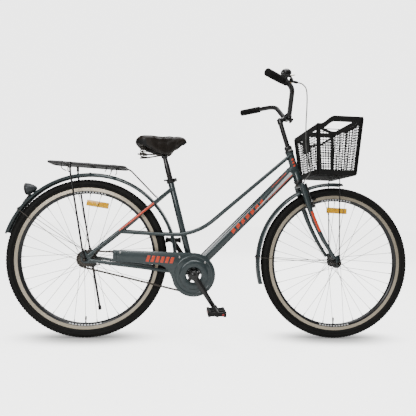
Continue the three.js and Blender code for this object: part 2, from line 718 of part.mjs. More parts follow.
function buildSeat() {
  const top = SEAT_TUBE_LENGTH;
  const collar = onSeatLine(ring(19.5, SEAT_TUBE_RADIUS + 0.7, -16, 2, 16), top);
  const ears = box(v(12, -9, -14), v(30, 9, 0));
  ears.rotateY(-SEAT_TILT).translate(seatLine(top).x, 0, seatLine(top).z);
  const clearBore = onSeatLine(ring(SEAT_TUBE_RADIUS + 0.7, 0, -30, 20, 16), top);
  const boltAt = seatLine(top - 7).addScaledVector(v(Math.cos(SEAT_TILT), 0, Math.sin(SEAT_TILT)), 23);
  const bolt = ring(3, 0, -24, 17, 10).translate(boltAt.x, 0, boltAt.z);
  const nut = ring(7, 0, -27, -17, 12).translate(boltAt.x, 0, boltAt.z);
  add("seat_clamp", join(cut(join(collar, ears), clearBore), bolt, nut), blackPaint);

  const leverHub = ring(6, 3.4, 10.5, 21, 12).translate(boltAt.x, 0, boltAt.z);
  const leverRoute = new Route(
    [
      v(boltAt.x, 21.5, boltAt.z + 2), v(boltAt.x - 22, 26.5, boltAt.z + 1),
      v(boltAt.x - 52, 26.5, boltAt.z - 2),
    ],
    12,
    3,
  );
  const leverArm = bar(leverRoute, oval(2.5, 5, 8));
  const leverBore = ring(3.4, 0, 9, 17.6, 12).translate(boltAt.x, 0, boltAt.z);
  const lever = cut(join(leverHub, leverArm), leverBore);
  add("seat_clamp_lever", lever, blackPaint);

  const post = onSeatLine(ring(SEAT_POST_RADIUS, 0, 0, SEAT_POST_TOP - 200, 16), 200);
  add("seat_post", post, blackPaint);

  const clampAt = seatLine(SEAT_POST_TOP + 9);
  const clampBlock = aim(ring(15, 0, -9 + GAP, 14, 10), clampAt, seatLine(SEAT_POST_TOP + 60));
  const saddleClamp = join(
    clampBlock,
    ring(13, 0, -26, 26, 10).translate(clampAt.x, 0, clampAt.z + 4),
  );
  let rails = saddleClamp;
  for (const side of [-1, 1]) {
    const rail = new Route(
      [
        v(404, side * 5, SADDLE_Z - 5), v(372, side * 16, clampAt.z + 12),
        v(300, side * 21, clampAt.z + 4), v(238, side * 52, clampAt.z - 2),
        v(222, side * 62, clampAt.z + 2),
      ],
      22,
      2,
    );
    rails = join(rails, bar(rail, oval(3.5, 3.5, 6)));
    const spring = aim(ring(13, 0, 0, 28, 8), v(234, side * 54, 830), v(232, side * 56, 866));
    rails = join(rails, spring);
  }
  add("saddle_rails", rails, darkSteel);

  const half = [
    [214, 0], [210, 36], [216, 64], [234, 76], [266, 69], [300, 46], [335, 27], [385, 15],
    [408, 9], [414, 0],
  ];
  const lower = half.slice(1, -1).map(([x, y]) => [x, -y]).reverse();
  const pad = new THREE.ExtrudeGeometry(outline([...half, ...lower].reverse()), {
    depth: SADDLE_THICKNESS - 2 * SADDLE_EDGE,
    bevelThickness: SADDLE_EDGE,
    bevelSize: SADDLE_EDGE,
    bevelSegments: 2,
  });
  add("saddle_cover", pad.translate(0, 0, SADDLE_Z + SADDLE_EDGE), saddleSkin);
}

// ---------- fork, stem and handlebar ----------

function buildFork() {
  const steerer = onSteering(ring(12.7, 0, 0, HEAD_TUBE_HIGH + 26 - CROWN_HEIGHT, 20), CROWN_HEIGHT);
  const locknut = onSteering(ring(17, 0, 0, 14, 12), HEAD_TUBE_HIGH + 12 + 2 * GAP);
  const race = onSteering(ring(15, 0, 0, 10, 20), HEAD_TUBE_LOW - 18 - 10 - 2 * GAP);
  const crown = bar(
    straight(steering(CROWN_HEIGHT, 0, -FORK_HALF_WIDTH), steering(CROWN_HEIGHT, 0, FORK_HALF_WIDTH)),
    oval(13, 13, 12),
  );
  const bore = onSteering(ring(11.6, 0, 30, 300, 20), CROWN_HEIGHT);
  const tips = outline([[-12, 0], [-9, -9], [0, -13], [9, -9], [13, 0], [9, 12], [4, 42], [-14, 36]]);
  const hole = ring(5.2, 0, -100, 100, 12).translate(WHEELBASE, 0, WHEEL_RADIUS);
  const shapes = [];
  for (const [, side] of SIDES) {
    const curveStart = 300;
    const blade = [steering(CROWN_HEIGHT + 4, 0, side * FORK_HALF_WIDTH)];
    for (const height of [curveStart, 240, 180, 120, 70, 28]) {
      const drop = (curveStart - height) / curveStart;
      const ahead = FORK_OFFSET * drop * drop;
      blade.push(steering(height, ahead, side * (FORK_HALF_WIDTH + 11.6 * (1 - height / CROWN_HEIGHT))));
    }
    const route = smooth(blade, 8);
    shapes.push(taper(bar(route, oval(12.5, 13.5, 8)), route, 0.58));
    const near = FRONT_HUB_HALF + GAP;
    const far = FRONT_HUB_HALF + DROPOUT_THICKNESS;
    const [low, high] = side < 0 ? [-far, -near] : [near, far];
    shapes.push(plate(tips, low, high).translate(WHEELBASE, 0, WHEEL_RADIUS));
    const boss = steering(BRAKE_BOSS_HEIGHT, 0, side * 41);
    shapes.push(aim(ring(6, 0, 0, 27, 10), boss, boss.clone().add(steeringAhead)));
  }
  add("fork", cut(join(crown, steerer, locknut, race, ...shapes), bore, hole), paint);
}

function buildStem() {
  const barCentre = v(BAR_X, 0, BAR_Z);
  const quillTop = 727;
  const quill = onSteering(ring(BAR_RADIUS, 0, 0, quillTop - 470, 16), 470);
  const cap = onSteering(ring(13, 0, 0, 26, 12), quillTop - 24);
  const boltHead = onSteering(ring(5, 0, 0, 6, 6), quillTop + 1);
  const arm = bar(straight(steering(quillTop - 8), barCentre), oval(12, 12, 8));
  const barrel = ring(17.5, 0, -19, 19, 16).translate(BAR_X, 0, BAR_Z);
  const bore = ring(BAR_RADIUS + 0.5, 0, -40, 40, 20).translate(BAR_X, 0, BAR_Z);
  add("stem", cut(join(quill, cap, boltHead, arm, barrel), bore), blackPaint);
}

// A point on a handlebar end, by its distance in from the tip, ahead of the grip, and up.
function onGrip(side, inward, ahead = 0, up = 0) {
  const tip = v(735, 295, 1133);
  const inner = v(860, 174, 1135);
  const way = inner.sub(tip).normalize();
  const out = v(0.6955, 0.7185, 0);
  const point = tip.addScaledVector(way, inward).addScaledVector(out, ahead);
  point.z += up;
  return point.setY(point.y * side);
}

function buildHandlebar() {
  const half = (side) => [
    onGrip(side, 0), onGrip(side, 174), v(884, side * 138, 1124), v(903, side * 34, 1040),
  ];
  const centre = [v(BAR_X, -20, BAR_Z), v(BAR_X, 20, BAR_Z)];
  const route = new Route([...half(-1), ...centre, ...half(1).reverse()], 26, 3);
  add("handlebar", bar(route, oval(BAR_RADIUS, BAR_RADIUS, 10)), blackPaint);

  for (const [name, side] of SIDES) {
    const grip = [
      [0, -4], [13, -4], [GRIP_RADIUS, -1], [GRIP_RADIUS, GRIP_LENGTH - 6], [GRIP_RADIUS + 2, GRIP_LENGTH],
      [BAR_RADIUS + 0.5, GRIP_LENGTH], [BAR_RADIUS + 0.5, -GAP], [0, -GAP],
    ];
    add("grip_" + name, aim(turned(grip, 16), onGrip(side, 0), onGrip(side, 50)), rubber);
  }
}

// ---------- brake ----------

// The lever turns on a pin that stands up from the bracket's arm.
const LEVER_PIVOT = onGrip(-1, BRAKE_AT + 4, 34, -8);
const LEVER_TURN = Math.atan2(-0.7185, 0.6955); // the way from the right grip to its lever
const atPivot = (geometry) => aim(geometry, LEVER_PIVOT, LEVER_PIVOT.clone().setZ(1200));

function buildBrake() {
  const clampAt = [onGrip(-1, BRAKE_AT), onGrip(-1, BRAKE_AT + 10)];
  const clamp = aim(ring(15, 0, -7, 7, 12), ...clampAt);
  const arm = box(v(0, -7, -4), v(24, 7, 4));
  arm.rotateZ(LEVER_TURN).translate(...onGrip(-1, BRAKE_AT + 2, 12, -8).toArray());
  const barrelEnd = onGrip(-1, BRAKE_AT + 31, 49, -9.5);
  const barrel = bar(straight(onGrip(-1, BRAKE_AT + 5, 36, -9.5), barrelEnd), oval(5, 5, 8));
  const barClear = aim(ring(BAR_RADIUS + 0.6, 0, -60, 60, 12), ...clampAt);
  const boss = atPivot(ring(8, 0, -4, 4, 10));
  const pin = atPivot(ring(2.6, 0, 0, 13, 8));
  add("brake_bracket", cut(join(clamp, arm, boss, barrel, pin), barClear), blackPlastic);

  const hub = atPivot(ring(8, 0, 4 + GAP, 12, 12));
  const pinBore = atPivot(ring(3.1, 0, -20, 30, 8));
  const blade = new Route(
    [onGrip(-1, BRAKE_AT + 4, 34, 0.5), onGrip(-1, 100, 50, -1), onGrip(-1, 42, 44, -5)], 26, 3,
  );
  add("brake_lever", cut(join(hub, bar(blade, oval(4, 3, 8))), pinBore), blackPaint);

  for (const [name, side] of SIDES) {
    const bossAt = steering(BRAKE_BOSS_HEIGHT, 15, side * 41);
    const ahead = bossAt.clone().add(steeringAhead);
    const pivot = aim(ring(10, 6.4, 0, 11, 12), bossAt, ahead);
    const armRoute = new Route(
      [
        steering(BRAKE_BOSS_HEIGHT + 7, 20.5, side * 41), steering(BRAKE_BOSS_HEIGHT + 40, 20.5, side * 38),
        steering(BRAKE_BOSS_HEIGHT + 108, 20.5, side * 32),
      ],
      16,
      2,
    );
    const padCentre = steering(BRAKE_BOSS_HEIGHT + 24, 20.5, side * 20);
    const post = bar(
      straight(padCentre.clone().setY(side * 20), padCentre.clone().setY(side * 44)), oval(3.5, 3.5, 8),
    );
    const padHalf = 30;
    const tangent = v(padCentre.z - WHEEL_RADIUS, 0, WHEELBASE - padCentre.x).normalize();
    const pad = bar(
      straight(
        padCentre.clone().setY(side * 17.6).addScaledVector(tangent, -padHalf),
        padCentre.clone().setY(side * 17.6).addScaledVector(tangent, padHalf),
      ),
      oval(4.5, 5.5, 8),
    );
    const arms = join(bar(armRoute, oval(4, 5, 8)), post, pad);
    const clearOfBoss = aim(ring(6.4, 0, -30, 12.5, 12), bossAt, ahead);
    add("brake_arm_" + name, cut(join(arms, pivot), clearOfBoss), blackPaint);
  }

  const noodle = BRAKE_BOSS_HEIGHT + 126;
  const cable = smooth(
    [
      onGrip(-1, BRAKE_AT + 33.5, 50.2, -9.5), onGrip(-1, BRAKE_AT + 54, 50, -22),
      v(940, -160, 1080), v(952, -120, 1020), v(964, -84, 960), v(974, -62, 890),
      v(986, -52, 820), v(1002, -46, 770),
      steering(noodle + 4, 29, -34), steering(noodle, 30, 0), steering(noodle - 12, 29.5, 20),
    ],
    28,
  );
  add("brake_cable", bar(cable, oval(2.5, 2.5, 6)), blackPlastic);
}

// ---------- bell ----------

const BELL_CENTRE = onGrip(-1, BELL_AT, 0, 40);

function buildBell() {
  const clampAt = [onGrip(-1, BELL_AT), onGrip(-1, BELL_AT + 10)];
  const clamp = aim(ring(14.5, BAR_RADIUS + 0.7, -5, 5, 12), ...clampAt);
  const up = BELL_CENTRE.clone().setZ(BELL_CENTRE.z + 10);
  const post = aim(ring(5, 0, -27, -7, 10), BELL_CENTRE, up);
  const base = aim(ring(20, 0, -8, -3, 12), BELL_CENTRE, up);
  const cap = aim(
    turned([[0, -3.5], [23, -3.5], [23, 1], [20, 9], [13, 14.5], [0, 17]], 16), BELL_CENTRE, up,
  );
  add("bell", join(clamp, post, base, cap), blackPaint);
  const lever = box(v(21, -5, -8), v(40, 5, -4.5));
  lever.translate(BELL_CENTRE.x, BELL_CENTRE.y, BELL_CENTRE.z - 2);
  const ringPart = aim(ring(6.8, 5.4, -13, -8.3, 12), BELL_CENTRE, up);
  const link = box(v(6, -4, -12.8), v(26, 4, -9));
  link.translate(BELL_CENTRE.x, BELL_CENTRE.y, BELL_CENTRE.z);
  add("bell_lever", join(lever, link, ringPart), brass);
}

// ---------- basket ----------

const BASKET = {
  rearTop: 988, frontTop: 1196, rearLow: 1012, frontLow: 1186,
  halfTop: 168, halfLow: 128, low: 757, high: 1009, wall: 4,
};

// A tub that widens upwards, from its floor to its top edge.
function tub(inset, low) {
  const geometry = new THREE.BoxGeometry(1, 1, 1);
  const position = geometry.getAttribute("position");
  for (let i = 0; i < position.count; i++) {
    const top = position.getZ(i) > 0;
    const front = position.getX(i) > 0;
    const sign = Math.sign(position.getY(i));
    const rear = top ? BASKET.rearTop : BASKET.rearLow;
    const ahead = top ? BASKET.frontTop : BASKET.frontLow;
    const half = (top ? BASKET.halfTop : BASKET.halfLow) - inset;
    position.setXYZ(i, front ? ahead - inset : rear + inset, sign * half, top ? BASKET.high : low);
  }
  return geometry;
}

function buildBasket() {
  const dip = outline([[940, 1030], [1068, 1030], [1068, BASKET.high], [1004, 974], [940, 974]]);
  const tray = cut(
    tub(0, BASKET.low), tub(BASKET.wall, BASKET.low + BASKET.wall).translate(0, 0, 0.5),
    plate(dip, -220, 220),
  );
  add("basket", tray, blackPlastic);

  const low = stackFace(FRONT_HUB_HALF, 1);
  const foot = (side) => v(WHEELBASE, side * (low + LOOP_THICKNESS / 2), WHEEL_RADIUS + 7.5);
  const knee = (side) => v(1141, side * 63, 560);
  const corner = (side) => v(1138, side * 66, BASKET.low - 5);
  const route = new Route([foot(-1), knee(-1), corner(-1), corner(1), knee(1), foot(1)], 24, 3);
  const wire = bar(route, oval(1.5, 3.5, 6));
  add("basket_stay", join(wire, ...axleLoops(frontAxle, low)), darkSteel);
}

// ---------- assembly ----------

buildFrame();
buildWheel("rear", rearAxle, REAR_HUB_HALF, 26);
buildWheel("front", frontAxle, FRONT_HUB_HALF, 20);
buildAxle("rear", rearAxle, REAR_HUB_HALF, 5, 1);
buildAxle("front", frontAxle, FRONT_HUB_HALF, 4.7, 2);
buildFender("rear", REAR_FENDER, 22);
buildFender("front", FRONT_FENDER, 15);
buildFenderStay("rear", rearAxle, REAR_HUB_HALF, REAR_FENDER, 145.4);
buildFenderStay("front", frontAxle, FRONT_HUB_HALF, FRONT_FENDER, 177);
buildRack();
buildTailReflector();
buildGuard();
buildChain();
buildCranks();
buildSprocket();
buildStand();
buildSeat();
buildFork();
buildStem();
buildHandlebar();
buildBrake();
buildBell();
buildBasket();

// The origin is under the middle of the whole bicycle, on the ground.
const span = new THREE.Box3().setFromObject(bicycle, true);
bicycle.position.x = -(span.min.x + span.max.x) / 2;

export default bicycle;
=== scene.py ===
# %% [markdown]
# # A step-through city bicycle
# The bicycle's frame of reference comes first. It was packed as plain solids that already stand where
# every part belongs and that already turn on their joints, and the fixed points below are read from it.
# Each cell puts a finer piece in place of some of those solids, or gives them a better finish.

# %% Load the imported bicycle
import json
import math

import bpy
from mathutils import Matrix, Vector
from mathutils.bvhtree import BVHTree


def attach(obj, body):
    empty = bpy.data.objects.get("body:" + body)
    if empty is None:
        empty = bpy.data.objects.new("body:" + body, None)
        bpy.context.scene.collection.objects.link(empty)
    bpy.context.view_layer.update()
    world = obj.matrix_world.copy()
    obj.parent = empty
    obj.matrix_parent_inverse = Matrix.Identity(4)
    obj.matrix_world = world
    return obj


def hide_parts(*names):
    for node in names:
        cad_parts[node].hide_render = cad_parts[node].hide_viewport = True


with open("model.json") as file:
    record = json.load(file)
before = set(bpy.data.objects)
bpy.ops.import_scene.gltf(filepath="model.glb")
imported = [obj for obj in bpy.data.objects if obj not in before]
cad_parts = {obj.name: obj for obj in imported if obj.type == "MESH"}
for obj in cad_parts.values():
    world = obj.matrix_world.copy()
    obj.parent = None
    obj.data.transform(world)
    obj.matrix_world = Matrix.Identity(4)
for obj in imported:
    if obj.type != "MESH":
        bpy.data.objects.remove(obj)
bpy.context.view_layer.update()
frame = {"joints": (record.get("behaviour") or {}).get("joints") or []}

# %% [markdown]
# A frame builder works from a few fixed points: the two axles, the bottom bracket, the steering axis and
# the seat tube's line. They are read from the joints. Places are then given in millimetres from the
# rear axle, with x forward, y to the rider's left and z up from the ground.

# %% Fixed points and lines
MM = 0.001
JOINT = {joint["name"]: joint for joint in frame["joints"]}
REAR = Vector(JOINT["rear_wheel_spin"]["pos_m"])
FRONT = Vector(JOINT["front_wheel_spin"]["pos_m"])
BRACKET = Vector(JOINT["crank_spin"]["pos_m"])
STEER_UP = Vector(JOINT["steering_turn"]["axis"]).normalized()
STEER_AHEAD = Vector((STEER_UP.z, 0, -STEER_UP.x))
SEAT_UP = Vector(JOINT["seat_post_slide"]["axis"]).normalized()
X, Y, Z = Vector((1, 0, 0)), Vector((0, 1, 0)), Vector((0, 0, 1))
FORK_OFFSET = 52
SIDES = {"right": -1, "left": 1}


def at(x, y, z):
    return Vector((REAR.x + x * MM, y * MM, z * MM))


def steer(height, ahead=0, y=0):
    return FRONT + STEER_UP * height * MM + STEER_AHEAD * (ahead - FORK_OFFSET) * MM + Y * y * MM


def seat_line(height, ahead=0, y=0):
    forward = Vector((SEAT_UP.z, 0, -SEAT_UP.x))
    return BRACKET + SEAT_UP * height * MM + forward * ahead * MM + Y * y * MM


print("wheelbase", round((FRONT - REAR).length, 4), "head angle", round(math.degrees(STEER_UP.angle(X)), 1))

# %% [markdown]
# The camera stands a little behind the middle of the bicycle, just above knee height, and looks almost
# square at the drive side. The floor and the backdrop are one pale tone, and three large soft lights
# leave wide pale reflections along the tubes.

# %% Camera, floor and lights
CAMERA_PLACE = REAR + Vector((0.3876, -1.7782, 0.1876))
CAMERA_YAW, CAMERA_PITCH, CAMERA_ROLL = math.radians(4.79), math.radians(1.72), math.radians(1.54)
forward = Vector((
    math.sin(CAMERA_YAW) * math.cos(CAMERA_PITCH),
    math.cos(CAMERA_YAW) * math.cos(CAMERA_PITCH),
    math.sin(CAMERA_PITCH),
))
level = Vector((math.cos(CAMERA_YAW), -math.sin(CAMERA_YAW), 0))
upward = level.cross(forward)
across = level * math.cos(CAMERA_ROLL) + upward * math.sin(CAMERA_ROLL)
above = upward * math.cos(CAMERA_ROLL) - level * math.sin(CAMERA_ROLL)
bpy.ops.object.camera_add(location=CAMERA_PLACE)
camera = bpy.context.object
camera.matrix_world = Matrix((
    (across.x, above.x, -forward.x, CAMERA_PLACE.x),
    (across.y, above.y, -forward.y, CAMERA_PLACE.y),
    (across.z, above.z, -forward.z, CAMERA_PLACE.z),
    (0, 0, 0, 1),
))
camera.data.lens = 33.24
camera.data.sensor_width = 36
bpy.context.scene.camera = camera

bpy.ops.mesh.primitive_plane_add(size=60)
floor = bpy.context.object
floor.name = "studio_floor"


BACKDROP_GLOW = 3.7


def soft_light(name, place, size, power):
    bpy.ops.object.light_add(type="AREA", location=place)
    lamp = bpy.context.object
    lamp.name = name
    lamp.data.shape = "DISK"
    lamp.data.size = size
    lamp.data.energy = power
    lamp.rotation_mode = "QUATERNION"
    lamp.rotation_quaternion = (Vector((0, 0, 0.5)) - Vector(place)).to_track_quat("-Z", "Y")


soft_light("overhead_softbox", (0.2, -0.6, 4.2), 3.6, 150)
soft_light("drive_side_softbox", (-1.6, -3.6, 2.0), 2.0, 70)
soft_light("far_side_softbox", (1.8, 3.4, 2.4), 2.4, 50)
world = bpy.data.worlds.new("studio_world")
world.use_nodes = True
# Rays straight from the camera see a bright backdrop and every other ray a much weaker one, so what is
# seen behind the bicycle is not the light that falls on it.
backdrop = world.node_tree.nodes["Background"]
backdrop.inputs["Color"].default_value = (0.995, 0.995, 0.985, 1)
path = world.node_tree.nodes.new("ShaderNodeLightPath")
glow = world.node_tree.nodes.new("ShaderNodeMapRange")
glow.inputs["To Min"].default_value = 0.26
glow.inputs["To Max"].default_value = BACKDROP_GLOW
world.node_tree.links.new(path.outputs["Is Camera Ray"], glow.inputs["Value"])
world.node_tree.links.new(glow.outputs[0], backdrop.inputs["Strength"])
bpy.context.scene.world = world
print("camera at", [round(c, 3) for c in camera.location])

# %% [markdown]
# ## Finishes
# Enamel, rubber, plated steel and moulded plastic all share a few effects: a fine grain, a slow change
# of tone, and concentric tool marks. Each effect is built once as a node group with named sockets, and
# each material places it with its own values. The shader itself always stays in the material.

# %% A group builder and the shared effects


def new_group(name, inputs, outputs):
    """An empty shader node group with the named sockets."""
    group = bpy.data.node_groups.new(name, "ShaderNodeTree")
    for socket, kind, value in inputs:
        made = group.interface.new_socket(socket, in_out="INPUT", socket_type=kind)
        made.default_value = value
    for socket, kind in outputs:
        group.interface.new_socket(socket, in_out="OUTPUT", socket_type=kind)
    nodes = group.nodes
    return group, nodes.new("NodeGroupInput"), nodes.new("NodeGroupOutput")


def math_node(tree, operation, first, second=None):
    """A Math node fed by sockets or plain numbers, and its output."""
    node = tree.nodes.new("ShaderNodeMath")
    node.operation = operation
    for socket, value in zip(node.inputs, (first, second)):
        if value is None:
            continue
        if isinstance(value, (int, float)):
            socket.default_value = value
        else:
            tree.links.new(value, socket)
    return node.outputs[0]


def grain_group():
    """Fine grain: a height, and a roughness that wavers between two values."""
    floats = [("Scale", 400.0), ("Stretch", 1.0), ("Rough Low", 0.3), ("Rough High", 0.4)]
    group, given, result = new_group(
        "fine_grain",
        [(name, "NodeSocketFloat", value) for name, value in floats],
        [("Roughness", "NodeSocketFloat"), ("Height", "NodeSocketFloat")],
    )
    place = group.nodes.new("ShaderNodeTexCoord")
    stretch = group.nodes.new("ShaderNodeVectorMath")
    stretch.operation = "MULTIPLY"
    combine = group.nodes.new("ShaderNodeCombineXYZ")
    combine.inputs[0].default_value = 1
    combine.inputs[2].default_value = 1
    group.links.new(given.outputs["Stretch"], combine.inputs[1])
    group.links.new(place.outputs["Object"], stretch.inputs[0])
    group.links.new(combine.outputs[0], stretch.inputs[1])
    noise = group.nodes.new("ShaderNodeTexNoise")
    noise.inputs["Detail"].default_value = 4
    group.links.new(stretch.outputs[0], noise.inputs["Vector"])
    group.links.new(given.outputs["Scale"], noise.inputs["Scale"])
    spread = group.nodes.new("ShaderNodeMapRange")
    group.links.new(noise.outputs["Fac"], spread.inputs["Value"])
    spread.inputs["From Min"].default_value = 0.3
    spread.inputs["From Max"].default_value = 0.7
    group.links.new(given.outputs["Rough Low"], spread.inputs["To Min"])
    group.links.new(given.outputs["Rough High"], spread.inputs["To Max"])
    group.links.new(spread.outputs[0], result.inputs["Roughness"])
    group.links.new(noise.outputs["Fac"], result.inputs["Height"])
    return group


def tone_group():
    """A slow drift between two tones."""
    group, given, result = new_group(
        "tone_drift",
        [
            ("Tone", "NodeSocketColor", (0.5, 0.5, 0.5, 1)),
            ("Other Tone", "NodeSocketColor", (0.4, 0.4, 0.4, 1)),
            ("Scale", "NodeSocketFloat", 9.0),
        ],
        [("Color", "NodeSocketColor")],
    )
    place = group.nodes.new("ShaderNodeTexCoord")
    noise = group.nodes.new("ShaderNodeTexNoise")
    noise.inputs["Detail"].default_value = 5
    group.links.new(place.outputs["Object"], noise.inputs["Vector"])
    group.links.new(given.outputs["Scale"], noise.inputs["Scale"])
    spread = group.nodes.new("ShaderNodeMapRange")
    spread.inputs["From Min"].default_value = 0.35
    spread.inputs["From Max"].default_value = 0.65
    group.links.new(noise.outputs["Fac"], spread.inputs["Value"])
    mix = group.nodes.new("ShaderNodeMix")
    mix.data_type = "RGBA"
    group.links.new(spread.outputs[0], mix.inputs["Factor"])
    group.links.new(given.outputs["Tone"], mix.inputs["A"])
    group.links.new(given.outputs["Other Tone"], mix.inputs["B"])
    group.links.new(mix.outputs["Result"], result.inputs["Color"])
    return group


def tool_mark_group():
    """Concentric lines round an axle that lies along Y, as a lathe or a buff leaves them."""
    group, given, result = new_group(
        "turned_marks",
        [("Centre", "NodeSocketVector", (0, 0, 0)), ("Pitch mm", "NodeSocketFloat", 1.0)],
        [("Height", "NodeSocketFloat")],
    )
    place = group.nodes.new("ShaderNodeTexCoord")
    away = group.nodes.new("ShaderNodeVectorMath")
    away.operation = "SUBTRACT"
    group.links.new(place.outputs["Object"], away.inputs[0])
    group.links.new(given.outputs["Centre"], away.inputs[1])
    flat = group.nodes.new("ShaderNodeVectorMath")
    flat.operation = "MULTIPLY"
    flat.inputs[1].default_value = (1000, 0, 1000)
    group.links.new(away.outputs[0], flat.inputs[0])
    size = group.nodes.new("ShaderNodeVectorMath")
    size.operation = "LENGTH"
    group.links.new(flat.outputs[0], size.inputs[0])
    turns = math_node(group, "DIVIDE", size.outputs["Value"], given.outputs["Pitch mm"])
    wave = math_node(group, "SINE", math_node(group, "MULTIPLY", turns, 2 * math.pi))
    group.links.new(wave, result.inputs["Height"])
    return group


GRAIN, TONE, TOOL_MARKS = grain_group(), tone_group(), tool_mark_group()
print("groups", [group.name for group in bpy.data.node_groups])

# %% [markdown]
# One function makes the plain finishes from those groups: a drifting tone, a wavering roughness and a
# bump. What sets enamel apart from plastic is its clear coat, and what sets steel apart is metalness.

# %% The finishes


def finish(name, tone, other, rough, grain=400, stretch=1, bump=0.05, depth=0.0002, drift=9, **sockets):
    """A material: rough is its lowest and highest roughness; sockets go to the shader's own inputs."""
    material = bpy.data.materials.new(name)
    material.use_nodes = True
    tree = material.node_tree
    shader = tree.nodes["Principled BSDF"]
    for socket, value in sockets.items():
        shader.inputs[socket.replace("_", " ")].default_value = value
    colour = tree.nodes.new("ShaderNodeGroup")
    colour.node_tree = TONE
    colour.inputs["Tone"].default_value = (*tone, 1)
    colour.inputs["Other Tone"].default_value = (*other, 1)
    colour.inputs["Scale"].default_value = drift
    tree.links.new(colour.outputs["Color"], shader.inputs["Base Color"])
    texture = tree.nodes.new("ShaderNodeGroup")
    texture.node_tree = GRAIN
    texture.inputs["Scale"].default_value = grain
    texture.inputs["Stretch"].default_value = stretch
    texture.inputs["Rough Low"].default_value = rough[0]
    texture.inputs["Rough High"].default_value = rough[1]
    tree.links.new(texture.outputs["Roughness"], shader.inputs["Roughness"])
    relief = tree.nodes.new("ShaderNodeBump")
    relief.inputs["Strength"].default_value = bump
    relief.inputs["Distance"].default_value = depth
    tree.links.new(texture.outputs["Height"], relief.inputs["Height"])
    tree.links.new(relief.outputs["Normal"], shader.inputs["Normal"])
    return material


def add_second_bump(tree, height, strength, distance=0.0002):
    """Lays a second bump over the one that a finish already has."""
    relief = next(node for node in tree.nodes if node.type == "BUMP")
    second = tree.nodes.new("ShaderNodeBump")
    second.inputs["Strength"].default_value = strength
    second.inputs["Distance"].default_value = distance
    tree.links.new(height, second.inputs["Height"])
    tree.links.new(relief.outputs["Normal"], second.inputs["Normal"])
    tree.links.new(second.outputs["Normal"], tree.nodes["Principled BSDF"].inputs["Normal"])


def add_tool_marks(material, centre, pitch, strength=0.25):
    """Lays concentric tool marks over a finish that already has a bump."""
    tree = material.node_tree
    marks = tree.nodes.new("ShaderNodeGroup")
    marks.node_tree = TOOL_MARKS
    marks.inputs["Centre"].default_value = centre
    marks.inputs["Pitch mm"].default_value = pitch
    add_second_bump(tree, marks.outputs["Height"], strength)
    return material


SLATE = (0.026, 0.041, 0.044)
enamel = finish(
    "slate_enamel", SLATE, (0.030, 0.046, 0.049), (0.30, 0.36), grain=900, bump=0.03,
    Metallic=0.25, Coat_Weight=0.8, Coat_Roughness=0.12,
)
black_enamel = finish(
    "black_enamel", (0.005, 0.005, 0.005), (0.007, 0.007, 0.007), (0.2, 0.28), grain=700,
    Coat_Weight=0.5, Coat_Roughness=0.15,
)
black_plastic = finish(
    "moulded_black_plastic", (0.004, 0.004, 0.0038), (0.006, 0.0057, 0.0053), (0.42, 0.56), grain=1200,
    bump=0.2, Specular_IOR_Level=0.35,
)
grip_rubber = finish(
    "grip_rubber", (0.005, 0.0046, 0.0042), (0.008, 0.0075, 0.007), (0.62, 0.8), grain=1500, bump=0.35,
    Specular_IOR_Level=0.25,
)
tyre_rubber = finish(
    "tyre_rubber", (0.005, 0.0047, 0.0042), (0.008, 0.0075, 0.0068), (0.62, 0.78), grain=900, bump=0.3,
    Specular_IOR_Level=0.25,
)
rim_enamel = finish(
    "black_rim_enamel", (0.013, 0.014, 0.016), (0.017, 0.018, 0.020), (0.25, 0.35), grain=600,
    Metallic=0.3, Coat_Weight=0.3,
)
zinc = finish(
    "zinc_plate", (0.52, 0.52, 0.51), (0.44, 0.44, 0.43), (0.25, 0.4), grain=500, bump=0.1,
    Metallic=1.0,
)
spoke_steel = finish(
    "spoke_wire", (0.13, 0.125, 0.115), (0.10, 0.095, 0.09), (0.3, 0.4), grain=800, bump=0.05,
    Metallic=1.0,
)
dark_steel = finish(
    "oiled_steel", (0.10, 0.09, 0.08), (0.07, 0.062, 0.055), (0.3, 0.5), grain=700, bump=0.2,
    Metallic=0.9,
)
brass = finish(
    "satin_brass", (0.50, 0.36, 0.16), (0.42, 0.30, 0.13), (0.25, 0.4), grain=500, bump=0.1,
    Metallic=1.0,
)
red_plastic = finish(
    "red_reflector", (0.42, 0.012, 0.008), (0.30, 0.008, 0.006), (0.08, 0.16), grain=300, bump=0.1,
    Coat_Weight=1.0, Coat_Roughness=0.04,
)
amber_plastic = finish(
    "amber_reflector", (1.0, 0.46, 0.0), (1.0, 0.58, 0.01), (0.1, 0.2), grain=300, bump=0.1,
    drift=60, Coat_Weight=1.0, Coat_Roughness=0.04,
)
grey_plastic = finish(
    "grey_plastic", (0.034, 0.040, 0.043), (0.027, 0.032, 0.035), (0.35, 0.5), grain=900, bump=0.15,
)
cable_sleeve = finish(
    "grey_cable_sleeve", (0.14, 0.14, 0.135), (0.11, 0.11, 0.105), (0.35, 0.5), grain=900, bump=0.15,
)
orange_film = finish(
    "orange_film", (0.80, 0.062, 0.014), (0.74, 0.055, 0.012), (0.25, 0.35), grain=900, bump=0.02,
    Coat_Weight=0.5, Coat_Roughness=0.1,
)
white_film = finish(
    "white_film", (0.72, 0.73, 0.73), (0.66, 0.67, 0.68), (0.25, 0.35), grain=900, bump=0.02,
    Coat_Weight=0.5, Coat_Roughness=0.1,
)
track_metal = {
    name: add_tool_marks(
        finish(
            "brake_track_" + name, (0.62, 0.54, 0.42), (0.52, 0.45, 0.34), (0.28, 0.42), grain=500,
            Metallic=0.75,
        ),
        centre, 1.5,
    )
    for name, centre in (("rear", REAR), ("front", FRONT))
}
floor_paint = finish("studio_floor_paint", (0.80, 0.80, 0.79), (0.79, 0.79, 0.78), (0.8, 0.9), grain=40)
tree = floor_paint.node_tree
place = tree.nodes.new("ShaderNodeTexCoord")
shade = 1
